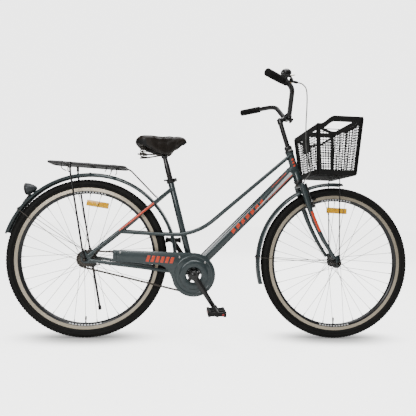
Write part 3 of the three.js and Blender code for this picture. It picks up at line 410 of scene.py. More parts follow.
for wheel in (REAR, FRONT):
    # A painted shade, not a cast one: the glow of the floor fades out in a long soft oval under each wheel.
    away = tree.nodes.new("ShaderNodeVectorMath")
    away.operation = "SUBTRACT"
    away.inputs[1].default_value = (wheel.x, 0, 0)
    oval = tree.nodes.new("ShaderNodeVectorMath")
    oval.operation = "MULTIPLY"
    oval.inputs[1].default_value = (1 / 0.42, 1 / 0.17, 0)
    size = tree.nodes.new("ShaderNodeVectorMath")
    size.operation = "LENGTH"
    tree.links.new(place.outputs["Object"], away.inputs[0])
    tree.links.new(away.outputs[0], oval.inputs[0])
    tree.links.new(oval.outputs[0], size.inputs[0])
    fade = tree.nodes.new("ShaderNodeMapRange")
    fade.interpolation_type = "SMOOTHERSTEP"
    fade.inputs["From Min"].default_value = 0.15
    fade.inputs["To Min"].default_value = 0.05
    tree.links.new(size.outputs["Value"], fade.inputs["Value"])
    shade = math_node(tree, "MULTIPLY", fade.outputs[0], shade)
path = tree.nodes.new("ShaderNodeLightPath")
seen = math_node(tree, "MULTIPLY", path.outputs["Is Camera Ray"], shade)
shader = tree.nodes["Principled BSDF"]
shader.inputs["Emission Color"].default_value = (0.995, 0.995, 0.985, 1)
tree.links.new(math_node(tree, "MULTIPLY", seen, BACKDROP_GLOW - 0.4), shader.inputs["Emission Strength"])
floor.data.materials.append(floor_paint)
print("finishes", len(bpy.data.materials))

# %% [markdown]
# ## A small set of workshop habits
# A bicycle is nearly all tube, turned metal and pressed plate, so three helpers do most of the work: a
# bevelled curve drawn along a route for tube and wire, a profile spun round an axle for turned pieces,
# and a flat outline with thickness for plate. Each is made with the same operators as by hand.

# %% Selecting, joining, copying and naming


def pick(*pieces):
    bpy.ops.object.select_all(action="DESELECT")
    for piece in pieces:
        piece.select_set(True)
    bpy.context.view_layer.objects.active = pieces[0]
    return pieces[0]


def merged(*pieces):
    """The pieces as one object."""
    pieces = [piece for piece in pieces if piece is not None]
    pick(*pieces)
    if len(pieces) > 1:
        bpy.ops.object.join()
    return bpy.context.object


def moved(piece, matrix):
    """Puts a piece's place into its mesh."""
    piece.data.transform(matrix)
    if matrix.determinant() < 0:
        piece.data.flip_normals()
    piece.data.update()
    return piece


def copied(piece, matrix=Matrix()):
    """A copy with its own mesh, moved by a matrix."""
    twin = piece.copy()
    twin.data = piece.data.copy()
    bpy.context.scene.collection.objects.link(twin)
    return moved(twin, matrix)


def modified(piece, kind, **settings):
    """Adds a modifier and applies it."""
    pick(piece)
    modifier = piece.modifiers.new(kind.lower(), kind)
    for setting, value in settings.items():
        setattr(modifier, setting, value)
    bpy.ops.object.modifier_apply(modifier=modifier.name)
    return piece


def done(piece, name, body, material, replaced=(), angle=35):
    """Names a piece, gives it a finish and fastens it to its body."""
    piece.name = name
    piece.data.name = name
    if material is not None:
        piece.data.materials.clear()
        piece.data.materials.append(material)
        for face in piece.data.polygons:
            face.material_index = 0
    pick(piece)
    bpy.ops.object.shade_smooth_by_angle(angle=math.radians(angle))
    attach(piece, body)
    if replaced:
        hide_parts(*replaced)
    print(name, len(piece.data.polygons), "faces on", body)
    return piece


# %% [markdown]
# Tube and wire follow a route. A route is either straight stretches joined by round bends, as a tube
# bender leaves them, or one smooth line through its points, as a cable takes.

# %% Routes, tubes and wires


def bent(corners, bend=20, steps=8):
    """Straight stretches joined by round bends; bend is in millimetres."""
    points = [corners[0]]
    for before, corner, after in zip(corners, corners[1:], corners[2:]):
        reach = min(bend * MM, (before - corner).length * 0.45, (after - corner).length * 0.45)
        start = corner + (before - corner).normalized() * reach
        end = corner + (after - corner).normalized() * reach
        for step in range(steps + 1):
            t = step / steps
            points.append(start * (1 - t) ** 2 + corner * 2 * t * (1 - t) + end * t * t)
    return points + [corners[-1]]


def flowing(corners, steps=10):
    """One smooth line through the points."""
    ends = [corners[0] * 2 - corners[1], *corners, corners[-1] * 2 - corners[-2]]
    points = []
    for p, q, r, s in zip(ends, ends[1:], ends[2:], ends[3:]):
        for step in range(steps):
            t = step / steps
            points.append(
                0.5 * (2 * q + (r - p) * t + (2 * p - 5 * q + 4 * r - s) * t * t
                       + (3 * q - p - 3 * r + s) * t ** 3)
            )
    return points + [corners[-1]]


def tube(points, radius, sides=16, widths=None, closed=False, section=None):
    """A tube along points, radius in millimetres. widths scales it at each point, and section gives
    the half-width across the bicycle's plane and the half-height within it."""
    bpy.ops.object.select_all(action="DESELECT")
    bpy.ops.curve.primitive_nurbs_path_add()
    line = bpy.context.object
    curve = line.data
    curve.splines.clear()
    spline = curve.splines.new("POLY")
    spline.points.add(len(points) - 1)
    for index, point in enumerate(points):
        spline.points[index].co = (*point, 1)
        spline.points[index].radius = widths[index] if widths else 1
    spline.use_cyclic_u = closed
    curve.use_fill_caps = not closed
    curve.twist_mode = "Z_UP" if section else "MINIMUM"
    ring = None
    if section:
        bpy.ops.curve.primitive_bezier_circle_add(radius=1)
        ring = bpy.context.object
        ring.data.resolution_u = max(sides // 4, 2)
        ring.scale = (section[0] * MM, section[1] * MM, 1)
        curve.bevel_mode = "OBJECT"
        curve.bevel_object = ring
    else:
        curve.bevel_depth = radius * MM
        curve.bevel_resolution = (sides - 4) // 2
    pick(line)
    bpy.ops.object.convert(target="MESH")
    piece = bpy.context.object
    if ring:
        bpy.data.objects.remove(ring)
    return welded(piece)


def welded(piece, distance=0.00002):
    """Merges doubles and turns every face outwards."""
    pick(piece)
    bpy.ops.object.mode_set(mode="EDIT")
    bpy.ops.mesh.select_all(action="SELECT")
    bpy.ops.mesh.remove_doubles(threshold=distance)
    bpy.ops.mesh.normals_make_consistent(inside=False)
    bpy.ops.object.mode_set(mode="OBJECT")
    return piece


def outline_mesh(points, closed):
    """A bare run of edges through points."""
    bpy.ops.object.select_all(action="DESELECT")
    bpy.ops.curve.primitive_nurbs_path_add()
    line = bpy.context.object
    line.data.splines.clear()
    spline = line.data.splines.new("POLY")
    spline.points.add(len(points) - 1)
    for index, point in enumerate(points):
        spline.points[index].co = (*point, 1)
    spline.use_cyclic_u = closed
    pick(line)
    bpy.ops.object.convert(target="MESH")
    return bpy.context.object


# %% [markdown]
# A turned piece is a half profile spun round the axle. The profile is given as pairs of radius and
# distance along the axle. A part turn, such as a mudguard, has its two ends filled afterwards.

# %% Turned pieces


def turned(profile, steps=48, closed=False, start=0, sweep=360):
    """A profile of (radius, y) pairs in millimetres, spun about the Y axis through the origin. The
    angles run from +X towards +Z."""
    piece = outline_mesh([Vector((radius * MM, y * MM, 0)) for radius, y in profile], closed)
    pick(piece)
    bpy.ops.object.mode_set(mode="EDIT")
    bpy.ops.mesh.select_all(action="SELECT")
    bpy.ops.mesh.spin(
        steps=steps, angle=math.radians(sweep), center=(0, 0, 0), axis=(0, 1, 0),
    )
    bpy.ops.object.mode_set(mode="OBJECT")
    if sweep < 360:
        pick(piece)
        bpy.ops.object.mode_set(mode="EDIT")
        bpy.ops.mesh.select_all(action="SELECT")
        bpy.ops.mesh.remove_doubles(threshold=0.00002)
        bpy.ops.mesh.select_all(action="SELECT")
        bpy.ops.mesh.fill_holes(sides=0)
        bpy.ops.object.mode_set(mode="OBJECT")
    # Minus the start angle about Y takes +X towards +Z, to where the profile starts.
    piece.data.transform(Matrix.Rotation(-math.radians(start), 4, "Y"))
    return welded(piece)


def on_line(piece, place, way):
    """Lays a turned piece, whose axle is Y, on a line."""
    lay = Y.rotation_difference(Vector(way).normalized()).to_matrix().to_4x4()
    return moved(piece, Matrix.Translation(place) @ lay)


def around(piece, count):
    """Repeats a piece round the Y axis through the origin."""
    bpy.ops.object.select_all(action="DESELECT")
    bpy.ops.object.empty_add(rotation=(0, 2 * math.pi / count, 0))
    step = bpy.context.object
    modified(
        piece, "ARRAY", count=count, use_relative_offset=False, use_object_offset=True,
        offset_object=step,
    )
    bpy.data.objects.remove(step)
    return piece


# %% [markdown]
# Plate is a flat outline with a thickness and a small round on its edges. Holes are further outlines
# inside the first.

# %% Plates and blocks


def arc(centre, radius, start, end, steps=12):
    """Points on an arc in x and z, in degrees."""
    points = []
    for step in range(steps + 1):
        angle = math.radians(start + (end - start) * step / steps)
        points.append((centre[0] + radius * math.cos(angle), centre[1] + radius * math.sin(angle)))
    return points


def plate(outlines, low, high, edge=0.5):
    """Outlines of (x, z) pairs in millimetres from the rear axle, as plate between two values of y."""
    bpy.ops.object.select_all(action="DESELECT")
    bpy.ops.curve.primitive_nurbs_path_add()
    line = bpy.context.object
    curve = line.data
    curve.splines.clear()
    curve.dimensions = "2D"
    curve.fill_mode = "BOTH"
    for points in outlines:
        spline = curve.splines.new("POLY")
        spline.points.add(len(points) - 1)
        for index, (x, z) in enumerate(points):
            spline.points[index].co = (x * MM, z * MM, 0, 1)
        spline.use_cyclic_u = True
    curve.extrude = ((high - low) / 2 - edge) * MM
    curve.bevel_depth = edge * MM
    curve.bevel_resolution = 1
    curve.offset = -edge * MM
    pick(line)
    bpy.ops.object.convert(target="MESH")
    piece = bpy.context.object
    upright = Matrix.Rotation(math.pi / 2, 4, "X")
    piece.data.transform(Matrix.Translation((REAR.x, (low + high) / 2 * MM, 0)) @ upright)
    return welded(piece)


def block(low, high, edge=1.0, segments=2):
    """A block with rounded edges between two corners, in millimetres."""
    size = [abs(b - a) for a, b in zip(low, high)]
    middle = [(a + b) / 2 for a, b in zip(low, high)]
    bpy.ops.object.select_all(action="DESELECT")
    bpy.ops.mesh.primitive_cube_add(size=1)
    piece = bpy.context.object
    piece.data.transform(Matrix.Diagonal((size[0] * MM, size[1] * MM, size[2] * MM, 1)))
    piece.data.transform(Matrix.Translation([c * MM for c in middle]))
    if edge:
        modified(piece, "BEVEL", width=edge * MM, segments=segments)
    return piece


def hexagon(across_flats, low, high, edge=0.6):
    """A hexagon nut about the Y axis through the origin, with rounded corners."""
    bpy.ops.object.select_all(action="DESELECT")
    bpy.ops.mesh.primitive_cylinder_add(
        vertices=6, radius=across_flats / 2 / math.cos(math.pi / 6) * MM, depth=(high - low) * MM,
    )
    piece = bpy.context.object
    piece.data.transform(Matrix.Rotation(math.pi / 2, 4, "X"))
    piece.data.transform(Matrix.Translation((0, (low + high) / 2 * MM, 0)))
    return modified(piece, "BEVEL", width=edge * MM, segments=2)


print("helpers ready")

# %% [markdown]
# ## The frame
# Two slim tubes curve down from the head tube past the seat tube to the rear stays, and one stout oval
# tube runs from the head tube to the bottom bracket. Real tubes are mitred and welded, so each one here
# runs into its neighbour, and a small bead of weld is laid round the joint.

# %% Head tube, bottom bracket shell and seat tube
HEAD_LOW, HEAD_HIGH = 424, 562
HEAD_RADIUS = 18
SEAT_LENGTH = 443
SEAT_RADIUS = 14.3


def weld_bead(place, way, radius, wire=1.6, section=None):
    """A ring of weld round a tube, across its line."""
    size = section or (radius, radius)
    side = Y
    rise = Vector(way).normalized().cross(side)
    points = [
        Vector(place) + side * math.cos(a) * size[0] * MM + rise * math.sin(a) * size[1] * MM
        for a in (2 * math.pi * k / 40 for k in range(40))
    ]
    widths = [1 + 0.12 * math.sin(5 * k) for k in range(40)]
    return tube(points, wire, 8, widths, closed=True)


def steering_turned(profile, height, steps=48, closed=False):
    return on_line(turned(profile, steps, closed), steer(height), STEER_UP)


length = HEAD_HIGH - HEAD_LOW
head = steering_turned(
    [
        (15.2, 0), (18.6, 0), (19.4, 1), (19.4, 7), (18.6, 8.5), (HEAD_RADIUS, 10),
        (HEAD_RADIUS, length - 10), (18.6, length - 8.5), (19.4, length - 7), (19.4, length - 1),
        (18.6, length), (15.2, length),
    ],
    HEAD_LOW, closed=True,
)
done(head, "head_tube_sleeve", "frame", enamel, ["head_tube"])

shell = turned(
    [
        (17, -34), (19.8, -34), (20.5, -33), (20.5, 33), (19.8, 34), (17, 34),
    ],
    closed=True,
)
done(
    moved(shell, Matrix.Translation(BRACKET)), "bracket_shell", "frame", enamel,
    ["bottom_bracket_shell"],
)
cups = []
for side in SIDES.values():
    cup = turned([(9.2, 20), (16.8, 20), (16.8, 34.2), (19, 34.2), (19, 37), (17, 38), (9.2, 38)],
        closed=True)
    notch_ring = around(block((18, 34.6, -1.6), (20.2, 37.4, 1.6), 0.4), 8)
    cups.append(moved(merged(cup, notch_ring), Matrix.Scale(side, 4, Y)))
done(moved(merged(*cups), Matrix.Translation(BRACKET)), "bracket_cups", "frame", dark_steel)

seat_tube = tube([seat_line(17), seat_line(SEAT_LENGTH - 0.5)], SEAT_RADIUS, 32)
modified(seat_tube, "BEVEL", width=0.0006, segments=2)
seat_bead = weld_bead(seat_line(20.6), SEAT_UP, SEAT_RADIUS + 0.4)
done(merged(seat_tube, seat_bead), "seat_tube_sleeve", "frame", enamel, ["seat_tube"])

# %% [markdown]
# The down tube is oval, taller than it is wide. Thin film lies on it: a white patch on each side that
# tapers to a point, and a row of slanted orange bars. Film is a curved patch that hugs the tube, a fifth
# of a millimetre thick, so it is modelled as such.

# %% Down tube and its film
DOWN_START, DOWN_END = at(481, 0, 317), at(943.5, 0, 793.3)
DOWN_SECTION = (19, 25)
down = tube([DOWN_START, DOWN_END], 1, 64, section=DOWN_SECTION)
down_way = (DOWN_END - DOWN_START).normalized()
bottom_bead = weld_bead(at(489, 0, 325.2), down_way, 0, 1.8, (19.4, 25.4))
top_bead = weld_bead(at(927, 0, 776.3), down_way, 0, 1.8, (19.4, 25.4))
done(merged(down, bottom_bead, top_bead), "down_tube_sleeve", "frame", enamel, ["down_tube"])


def film(start, end, section, low, high, rows=24, columns=10, lift=0.25):
    """A patch of film on a straight oval tube. low and high give the angle of its two edges, in
    degrees round from the right side towards the top, as functions of the distance along, 0 to 1."""
    bpy.ops.object.select_all(action="DESELECT")
    bpy.ops.mesh.primitive_grid_add(x_subdivisions=rows, y_subdivisions=columns, size=1)
    piece = bpy.context.object
    way = (end - start).normalized()
    rise = way.cross(Y).normalized()
    if rise.z < 0:
        rise = -rise
    for vertex in piece.data.vertices:
        along, share = vertex.co.x + 0.5, vertex.co.y + 0.5
        angle = math.radians(low(along) + (high(along) - low(along)) * share)
        out = -Y * math.cos(angle) * (section[0] + lift) + rise * math.sin(angle) * (section[1] + lift)
        vertex.co = start + (end - start) * along + out * MM
    welded(piece)
    face = piece.data.polygons[len(piece.data.polygons) // 2]
    centre = start + (end - start) * 0.5
    if face.normal.dot(face.center - centre) < 0:
        piece.data.flip_normals()
    return modified(piece, "SOLIDIFY", thickness=0.0002, offset=0)


def both_sides(piece):
    """A piece and its mirror image across the bicycle's plane, as one."""
    return merged(piece, copied(piece, Matrix.Scale(-1, 4, Y)))


def down_at(share):
    return DOWN_START + (DOWN_END - DOWN_START) * share


flash = film(down_at(0.06), down_at(0.60), DOWN_SECTION, lambda t: 34 + 12 * t, lambda t: 58 - 10 * t)
upper_flash = film(
    down_at(0.58), down_at(0.955), DOWN_SECTION, lambda t: -22 + 4 * t,
        lambda t: -18 + 46 * t * (1 - 0.3 * t),
)
done(both_sides(merged(flash, upper_flash)), "white_flash", "frame", white_film)
bars = []
BAR_COUNT = 7
for index in range(BAR_COUNT):
    start_share = 0.36 + index * 0.047
    bars.append(film(
        down_at(start_share), down_at(start_share + 0.03), DOWN_SECTION,
        lambda t: -30 + 16 * t, lambda t: 8 + 16 * t, rows=4, columns=8,
    ))
pin_stripe = film(
    down_at(0.70), down_at(0.95), DOWN_SECTION, lambda t: -34 + 6 * t, lambda t: -28 + 9 * t,
)
second_stripe = film(
    down_at(0.78), down_at(0.93), DOWN_SECTION, lambda t: 36, lambda t: 41 + 3 * t,
)
done(both_sides(merged(*bars, pin_stripe, second_stripe)), "orange_bars", "frame", orange_film)

# %% [markdown]
# The twin tubes of a step-through frame are bent in one long curve, so a long skirt or a stiff hip
# clears them. They are drawn as one smooth line each, mirrored from one side to the other.

# %% Twin top tubes
LATERAL = [
    (926, 11, 860.7), (760, 15, 714), (620, 20, 590.7), (540, 23, 522), (480, 26, 489),
    (427, 28.5, 474.5), (385, 33, 470.5), (280, 38, 472.5), (139, 49, 479),
]
for name, side in SIDES.items():
    route = flowing([at(x, side * y, z) for x, y, z in LATERAL], 9)
    top = tube(route, 8, 20)
    bead = weld_bead(at(916, side * 11.3, 852), at(926, 11, 860.7) - at(900, 12, 837), 8.2, 1.3)
    done(merged(top, bead), "top_tube_" + name, "frame", enamel, ["lateral_tube_" + name])

# %% Seat stays, chain stays and dropouts
SEAT_STAY = [(13, 62.8, 372.5), (120, 56, 462), (288, 37, 610), (366, 17, 679)]
CHAIN_STAY = [(466, 23, 296), (400, 32, 303), (320, 46, 313), (20, 62.8, 351.5)]
DROPOUT = [
    (-17, 355), (-13, 344), (0, 338), (48, 339), (50, 351), (24, 360), (40, 384), (30, 393),
    (8, 379), (3, 389), (-16, 389), (-20, 372),
]
for name, side in SIDES.items():
    corners = [at(x, side * y, z) for x, y, z in SEAT_STAY]
    stay = tube(bent(corners, 45), 8, 20)
    pieces = [stay]
    if side < 0:
        pieces.append(tube([at(306, -33, 626), at(306, 33, 626)], 5, 16))
        pieces.append(weld_bead(at(306, -27, 626), Y, 5.2, 1.2))
        bridge_boss = moved(
            turned([(0, -4), (7, -4), (7, 4), (0, 4)], 24),
            Matrix.Translation(at(306, 0, 629)) @ Matrix.Rotation(math.pi / 2, 4, "X"),
        )
        pieces.append(bridge_boss)
    stripe_start, stripe_end = corners[1] + (corners[2] - corners[1]) * 0.12, corners[2] * 1.0
    done(merged(*pieces), "rear_stay_" + name, "frame", enamel, ["seat_stay_" + name])
    stripe = film(
        stripe_start + (stripe_end - stripe_start) * 0.02, stripe_end, (8, 8),
        lambda t: -35 + 30 * (1 - t) ** 2, lambda t: 35 - 8 * t, columns=6,
    )
    if side > 0:
        # The patch faces the right, so the left stay's is turned round its own line.
        half_turn = Matrix.Translation(corners[1]) @ Matrix.Rotation(
            math.pi, 4, (corners[2] - corners[1]).normalized()
        ) @ Matrix.Translation(-corners[1])
        moved(stripe, half_turn)
    done(stripe, "rear_stay_stripe_" + name, "frame", orange_film)

    chain_stay = tube(
        bent([at(x, side * y, z) for x, y, z in CHAIN_STAY], 40), 8.4, 20,
        widths=[1.05] * 4 + [1.0] * 11 + [0.9] * 5,
    )
    ends = sorted((side * 60.3, side * 65))
    rounded = bent([at(x, 0, z) for x, z in DROPOUT] + [at(*(DROPOUT[0][0], 0, DROPOUT[0][1]))], 3, 2)
    outline = [((p.x - REAR.x) / MM, p.z / MM) for p in rounded[:-1]]
    hole = arc((0, 355), 5.6, 0, 340, 17)
    dropout = plate([outline, hole], *ends, edge=0.6)
    bead = weld_bead(at(458, side * 24, 297), at(400, 32, 303) - at(466, 23, 296), 8.8, 1.4)
    done(
        merged(chain_stay, dropout, bead), "lower_stay_" + name, "frame", enamel,
        ["chain_stay_" + name],
    )

# %% [markdown]
# The headset is two black cups pressed into the head tube, with a locknut above. A cup is a turned
# piece with a flared rim. The locknut turns with the fork, and so rides on the steering body.

# %% Headset
lower_cup = steering_turned(
    [(13.4, 0), (17, 0), (18, 1), (21, 8), (21.5, 10), (21.5, 16), (20.6, 18), (13.4, 18)],
    HEAD_LOW - 18.3, closed=True,
)
done(lower_cup, "lower_headset_cup", "frame", black_enamel, ["headset_cup_lower"])
upper_cup = steering_turned(
    [(13.4, 0), (20.4, 0), (21, 1.5), (21, 5), (19.6, 6.6), (17.4, 10), (16.6, 11.5), (13.4, 11.5)],
    HEAD_HIGH + 0.3, closed=True,
)
done(upper_cup, "upper_headset_cup", "frame", black_enamel, ["headset_cup_upper"])
print("frame tubes done")

# %% [markdown]
# ## The wheels
# A wheel is a tyre, a rim, a hub and thirty-six crossed spokes. Everything is modelled round the origin
# on the Y axis, where an array can repeat it, and then set on its own axle. The tyre's blocks are under a
# millimetre high and cut into short chevrons, so one pitch of them is made and repeated round the tread.

# %% Tyre, rim and brake track
TYRE_MIDDLE = 336
TREAD_PITCHES = 150


def tyre_carcass():
    profile = []
    for step in range(25):
        angle = math.radians(-122 + 244 * step / 24)
        swell = 20.2 - 1.2 * max(0, math.cos(angle)) ** 2
        profile.append((TYRE_MIDDLE + 17.9 * math.cos(angle), swell * math.sin(angle)))
    profile = [(318, -11.5)] + [p for p in profile if p[0] > 324] + [(318, 11.5)]
    return turned(profile + [(320.5, 6), (320.5, -6)], 160, closed=True)


def tread_block(across, half_length, half_width, slant, top):
    """One block of tread: its place across the tread, its size, and how far it is slanted."""
    base = TYRE_MIDDLE + 17.9 * math.sqrt(max(0, 1 - (across / 21.5) ** 2))
    piece = block(
        (base - 1, across - half_width, -half_length), (base + top, across + half_width, half_length), 0,
    )
    lean = Matrix.Translation((base * MM, across * MM, 0))
    tilt = math.asin(max(-1, min(1, across / 24)))
    return moved(piece, lean @ Matrix.Rotation(tilt, 4, "Z") @ Matrix.Rotation(slant, 4,
        "X") @ lean.inverted())


def tread():
    blocks = []
    for side in SIDES.values():
        blocks.append(tread_block(side * 4.0, 4.6, 2.5, side * 0.5, 0.7))
        blocks.append(tread_block(side * 10.6, 4.9, 2.3, -side * 0.35, 0.65))
        blocks.append(tread_block(side * 15.6, 3.2, 1.6, side * 0.2, 0.6))
    return around(merged(*blocks), TREAD_PITCHES)


def side_ribs():
    """Fine moulded ribs near the rim, on both side walls."""
    ribs = []
    for side in SIDES.values():
        for radius, y in ((327.0, 17.6), (329.2, 18.6), (341.8, 18.9)):
            ribs.append(turned(
                [(radius - 0.5, side * (y - 0.6)), (radius + 0.5, side * (y - 0.6)),
                 (radius + 0.3, side * (y + 0.7)), (radius - 0.3, side * (y + 0.7))],
                128, closed=True,
            ))
    return merged(*ribs)


RIM_PROFILE = [
    (290.2, -4), (291.4, -6.6), (295, -9.4), (299.6, -11.4), (301, -12), (317.6, -12), (318.2, -11.4),
    (318.2, -10.4), (312, -9.6), (309.4, -6), (309.4, 6), (312, 9.6), (318.2, 10.4), (318.2, 11.4),
    (317.6, 12), (301, 12), (299.6, 11.4), (295, 9.4), (291.4, 6.6), (290.2, 4),
]


def brake_tracks():
    rings = []
    for side in SIDES.values():
        rings.append(turned(
            [(302.4, side * 11.8), (302.4, side * 12.25), (316.6, side * 12.25), (316.6, side * 11.8)],
            160, closed=True,
        ))
    return merged(*rings)


def rim_dashes():
    """Two groups of short white dashes on each side of the black inner wall."""
    dashes = []
    for side in SIDES.values():
        for middle in (90, 270):
            for index in range(-5, 6):
                dash = block((-2.6, -0.3, -4.0), (2.6, 0.3, 4.0), 0)
                lean = math.radians(side * 26)
                place = Matrix.Translation((296.9 * MM, side * 10.6 * MM, 0)) @ Matrix.Rotation(lean, 4, "Z")
                turn = Matrix.Rotation(-math.radians(middle + index * 2.6), 4, "Y")
                dashes.append(moved(dash, turn @ place))
    return merged(*dashes)


# %% [markdown]
# Spokes leave the hub's flanges in pairs, one leaning forward and one back, and cross on
# their way to the rim. Their elbows sit in the flange, and a short nipple draws each one
# tight. Four spokes make the repeating group, two on each flange.

# %% Spokes, nipples and hub
SPOKE_PITCH = 20
SPOKE_SWEEP = 60
FLANGE = 28
RIM_BED = 290.2


def polar(radius, degrees, y):
    angle = math.radians(degrees)
    return Vector((radius * math.cos(angle), y, radius * math.sin(angle))) * MM


def spoke_group(flange_radius):
    spokes, nipples = [], []
    for side in SIDES.values():
        for index in range(2):
            at_rim = (index + (0.5 if side > 0 else 0)) * SPOKE_PITCH
            lead = 1 if index == 0 else -1
            at_hub = at_rim + lead * SPOKE_SWEEP
            outer = side * (FLANGE + lead * 2.6)
            inner = side * (FLANGE - lead * 2.6)
            hole = polar(flange_radius, at_hub, outer)
            head = polar(flange_radius, at_hub, inner)
            end = polar(RIM_BED + 3, at_rim, side * 2)
            spokes.append(tube(bent([head, hole, end], 3, 3), 1.0, 6))
            way = (end - hole).normalized()
            nipple = turned([(0, -12), (1.5, -12), (2.0, -11), (2.0, -3), (2.4, -1), (2.4, 3), (0, 3)], 8)
            nipples.append(on_line(nipple, polar(RIM_BED - 0.5, at_rim, side * 2), way))
    return around(merged(*spokes), 9), around(merged(*nipples), 9)


def hub_shell(hub_half, right_end, flange_radius):
    rim = flange_radius + 4
    profile = [(5.8, -right_end), (13, -right_end), (14, -right_end + 1), (14, -FLANGE - 2.4)]
    for side in (-1, 1):
        flange = [(rim - 0.8, -2), (rim, -1), (rim, 1), (rim - 0.8, 2)]
        if side < 0:
            profile += [(15, -FLANGE - 2)] + [(r, -FLANGE + y) for r, y in flange] + [(18, -FLANGE + 4)]
            profile += [(14.5, -FLANGE + 9), (13.6, 0), (14.5, FLANGE - 9), (18, FLANGE - 4)]
        else:
            profile += [(r, FLANGE + y) for r, y in flange] + [(15, FLANGE + 2), (14, FLANGE + 2.4)]
    profile += [(14, hub_half - 5), (13, hub_half - 4), (5.8, hub_half - 4)]
    return turned(profile, 48, closed=True)


def valve():
    """A rubber valve with its cap, standing inward from the rim's lowest point."""
    stem = turned([(0, 0), (3.0, 0), (3.0, 14), (4.1, 15), (4.1, 27), (3.2, 29.5), (0, 29.5)], 20)
    base = turned([(0, -1), (5, -1), (4.6, 1.4), (3, 2), (0, 2)], 20)
    place = Vector((0, 0, -RIM_BED * MM))
    return on_line(merged(stem, base), place, Z)


# %% [markdown]
# Each wheel carries one amber reflector clipped across its spokes: a long lens, cut
# into fine ridges, in a frame of the same plastic.

# %% Spoke reflector


def spoke_reflector(turn):
    lens = block((-50, -2.6, -13.5), (50, 2.6, 13.5), 2.2, 3)
    lens_pieces = [lens]
    for side in SIDES.values():
        for index in range(-8, 9):
            lens_pieces.append(block(
                (index * 5.2 - 1.5, side * 2.0, -9.5), (index * 5.2 + 1.5, side * 3.3, 9.5), 0.5, 1,
            ))
        clip = block((-8, side * 1.5, -4.5), (8, side * 4.4, 4.5), 1, 2)
        lens_pieces.append(clip)
    whole = merged(*lens_pieces)
    # The reflector's long side lies across the spokes; its middle sits near the rim.
    return moved(whole, Matrix.Rotation(turn, 4, "Y") @ Matrix.Translation((0, 0, 0.246)))


# %% Both wheels
WHEELS = {
    "rear": dict(place=REAR, half=60, right_end=38, flange=26, turn=math.radians(8)),
    "front": dict(place=FRONT, half=50, right_end=46, flange=20, turn=math.radians(2)),
}
for wheel, facts in WHEELS.items():
    body = wheel + "_wheel"
    home = Matrix.Translation(facts["place"])
    rubber_parts = moved(merged(tyre_carcass(), tread(), side_ribs()), home)
    done(rubber_parts, wheel + "_tyre_and_tread", body, tyre_rubber, [wheel + "_tyre"], angle=30)
    rim = moved(turned(RIM_PROFILE, 160, closed=True), home)
    done(rim, wheel + "_rim_hoop", body, rim_enamel, [wheel + "_rim"])
    done(moved(brake_tracks(), home), wheel + "_brake_track", body, track_metal[wheel])
    done(moved(rim_dashes(), home), wheel + "_rim_dashes", body, white_film)
    spokes, nipples = spoke_group(facts["flange"])
    done(moved(spokes, home), wheel + "_spokes", body, spoke_steel, [wheel + "_hub_spokes"])
    done(moved(nipples, home), wheel + "_nipples", body, zinc)
    hub = moved(hub_shell(facts["half"], facts["right_end"], facts["flange"]), home)
    done(hub, wheel + "_hub", body, black_enamel)
    done(moved(valve(), home), wheel + "_valve", body, grip_rubber)
    reflector = moved(spoke_reflector(facts["turn"]), home)
    done(reflector, wheel + "_reflector", body, amber_plastic, [wheel + "_spoke_reflector"])

# %% [markdown]
# The axles are threaded rod with a washer and a hexagon nut at each end. They belong to the frame and to
# the fork, because the wheels turn round them.

# %% Axles and nuts


def axle_set(half, radius, loops):
    """Rod, locknuts, washers and nuts of one axle, round the origin."""
    face = half + 5.3 + loops * 3.3
    pieces = [turned([(0, -face - 10), (radius - 0.5, -face - 10), (radius, -face - 9), (radius, face + 9),
                      (radius - 0.5, face + 10), (0, face + 10)], 20)]
    for index in range(5):
        y = face + 7.4 + index * 0.6
        for side in SIDES.values():
            pieces.append(turned([(radius - 0.2, side * y), (radius + 0.25, side * (y + 0.3)),
                                  (radius - 0.2, side * (y + 0.6))], 20, closed=True))
    for side in SIDES.values():
        nut = hexagon(15, side * (face + 0.9), side * (face + 7.2))
        washer = turned([(radius, side * face), (8.6, side * face), (8.6, side * (face + 0.9)),
                         (radius, side * (face + 0.9))], 24, closed=True)
        cone = hexagon(15, side * (half - 3.6), side * (half - 0.1))
        pieces += [nut, washer, cone]
    return merged(*pieces)


rear_axle = moved(axle_set(60, 5, 1), Matrix.Translation(REAR))
done(rear_axle, "rear_axle_and_nuts", "frame", dark_steel, ["rear_axle"])
front_axle = moved(axle_set(50, 4.7, 2), Matrix.Translation(FRONT))
done(front_axle, "front_axle_and_nuts", "steering", dark_steel, ["front_axle"])
print("wheels done")

# %% [markdown]
# ## Mudguards
# A mudguard is a strip of sheet rolled to a shallow channel and bent round the wheel. Its section is
# spun through part of a turn about the mudguard's own centre, which leaves both ends open, so they are
# filled. Its two edges are rolled over a wire, and wire stays tie it to the axle.

# %% Mudguards
GUARD_HALF, GUARD_DEPTH, SHEET = 24, 14, 1.2
MUDGUARDS = {
    "rear": dict(x=10, z=350, radius=389, start=-1.5, end=163.5, body="frame", stay=145.4),
    "front": dict(x=1145, z=355, radius=378, start=85.5, end=196.4, body="steering", stay=177),
}


def guard_point(guard, degrees, out=0, y=0):
    radius = guard["radius"] + out
    angle = math.radians(degrees)
    return at(guard["x"] + radius * math.cos(angle), y, guard["z"] + radius * math.sin(angle))


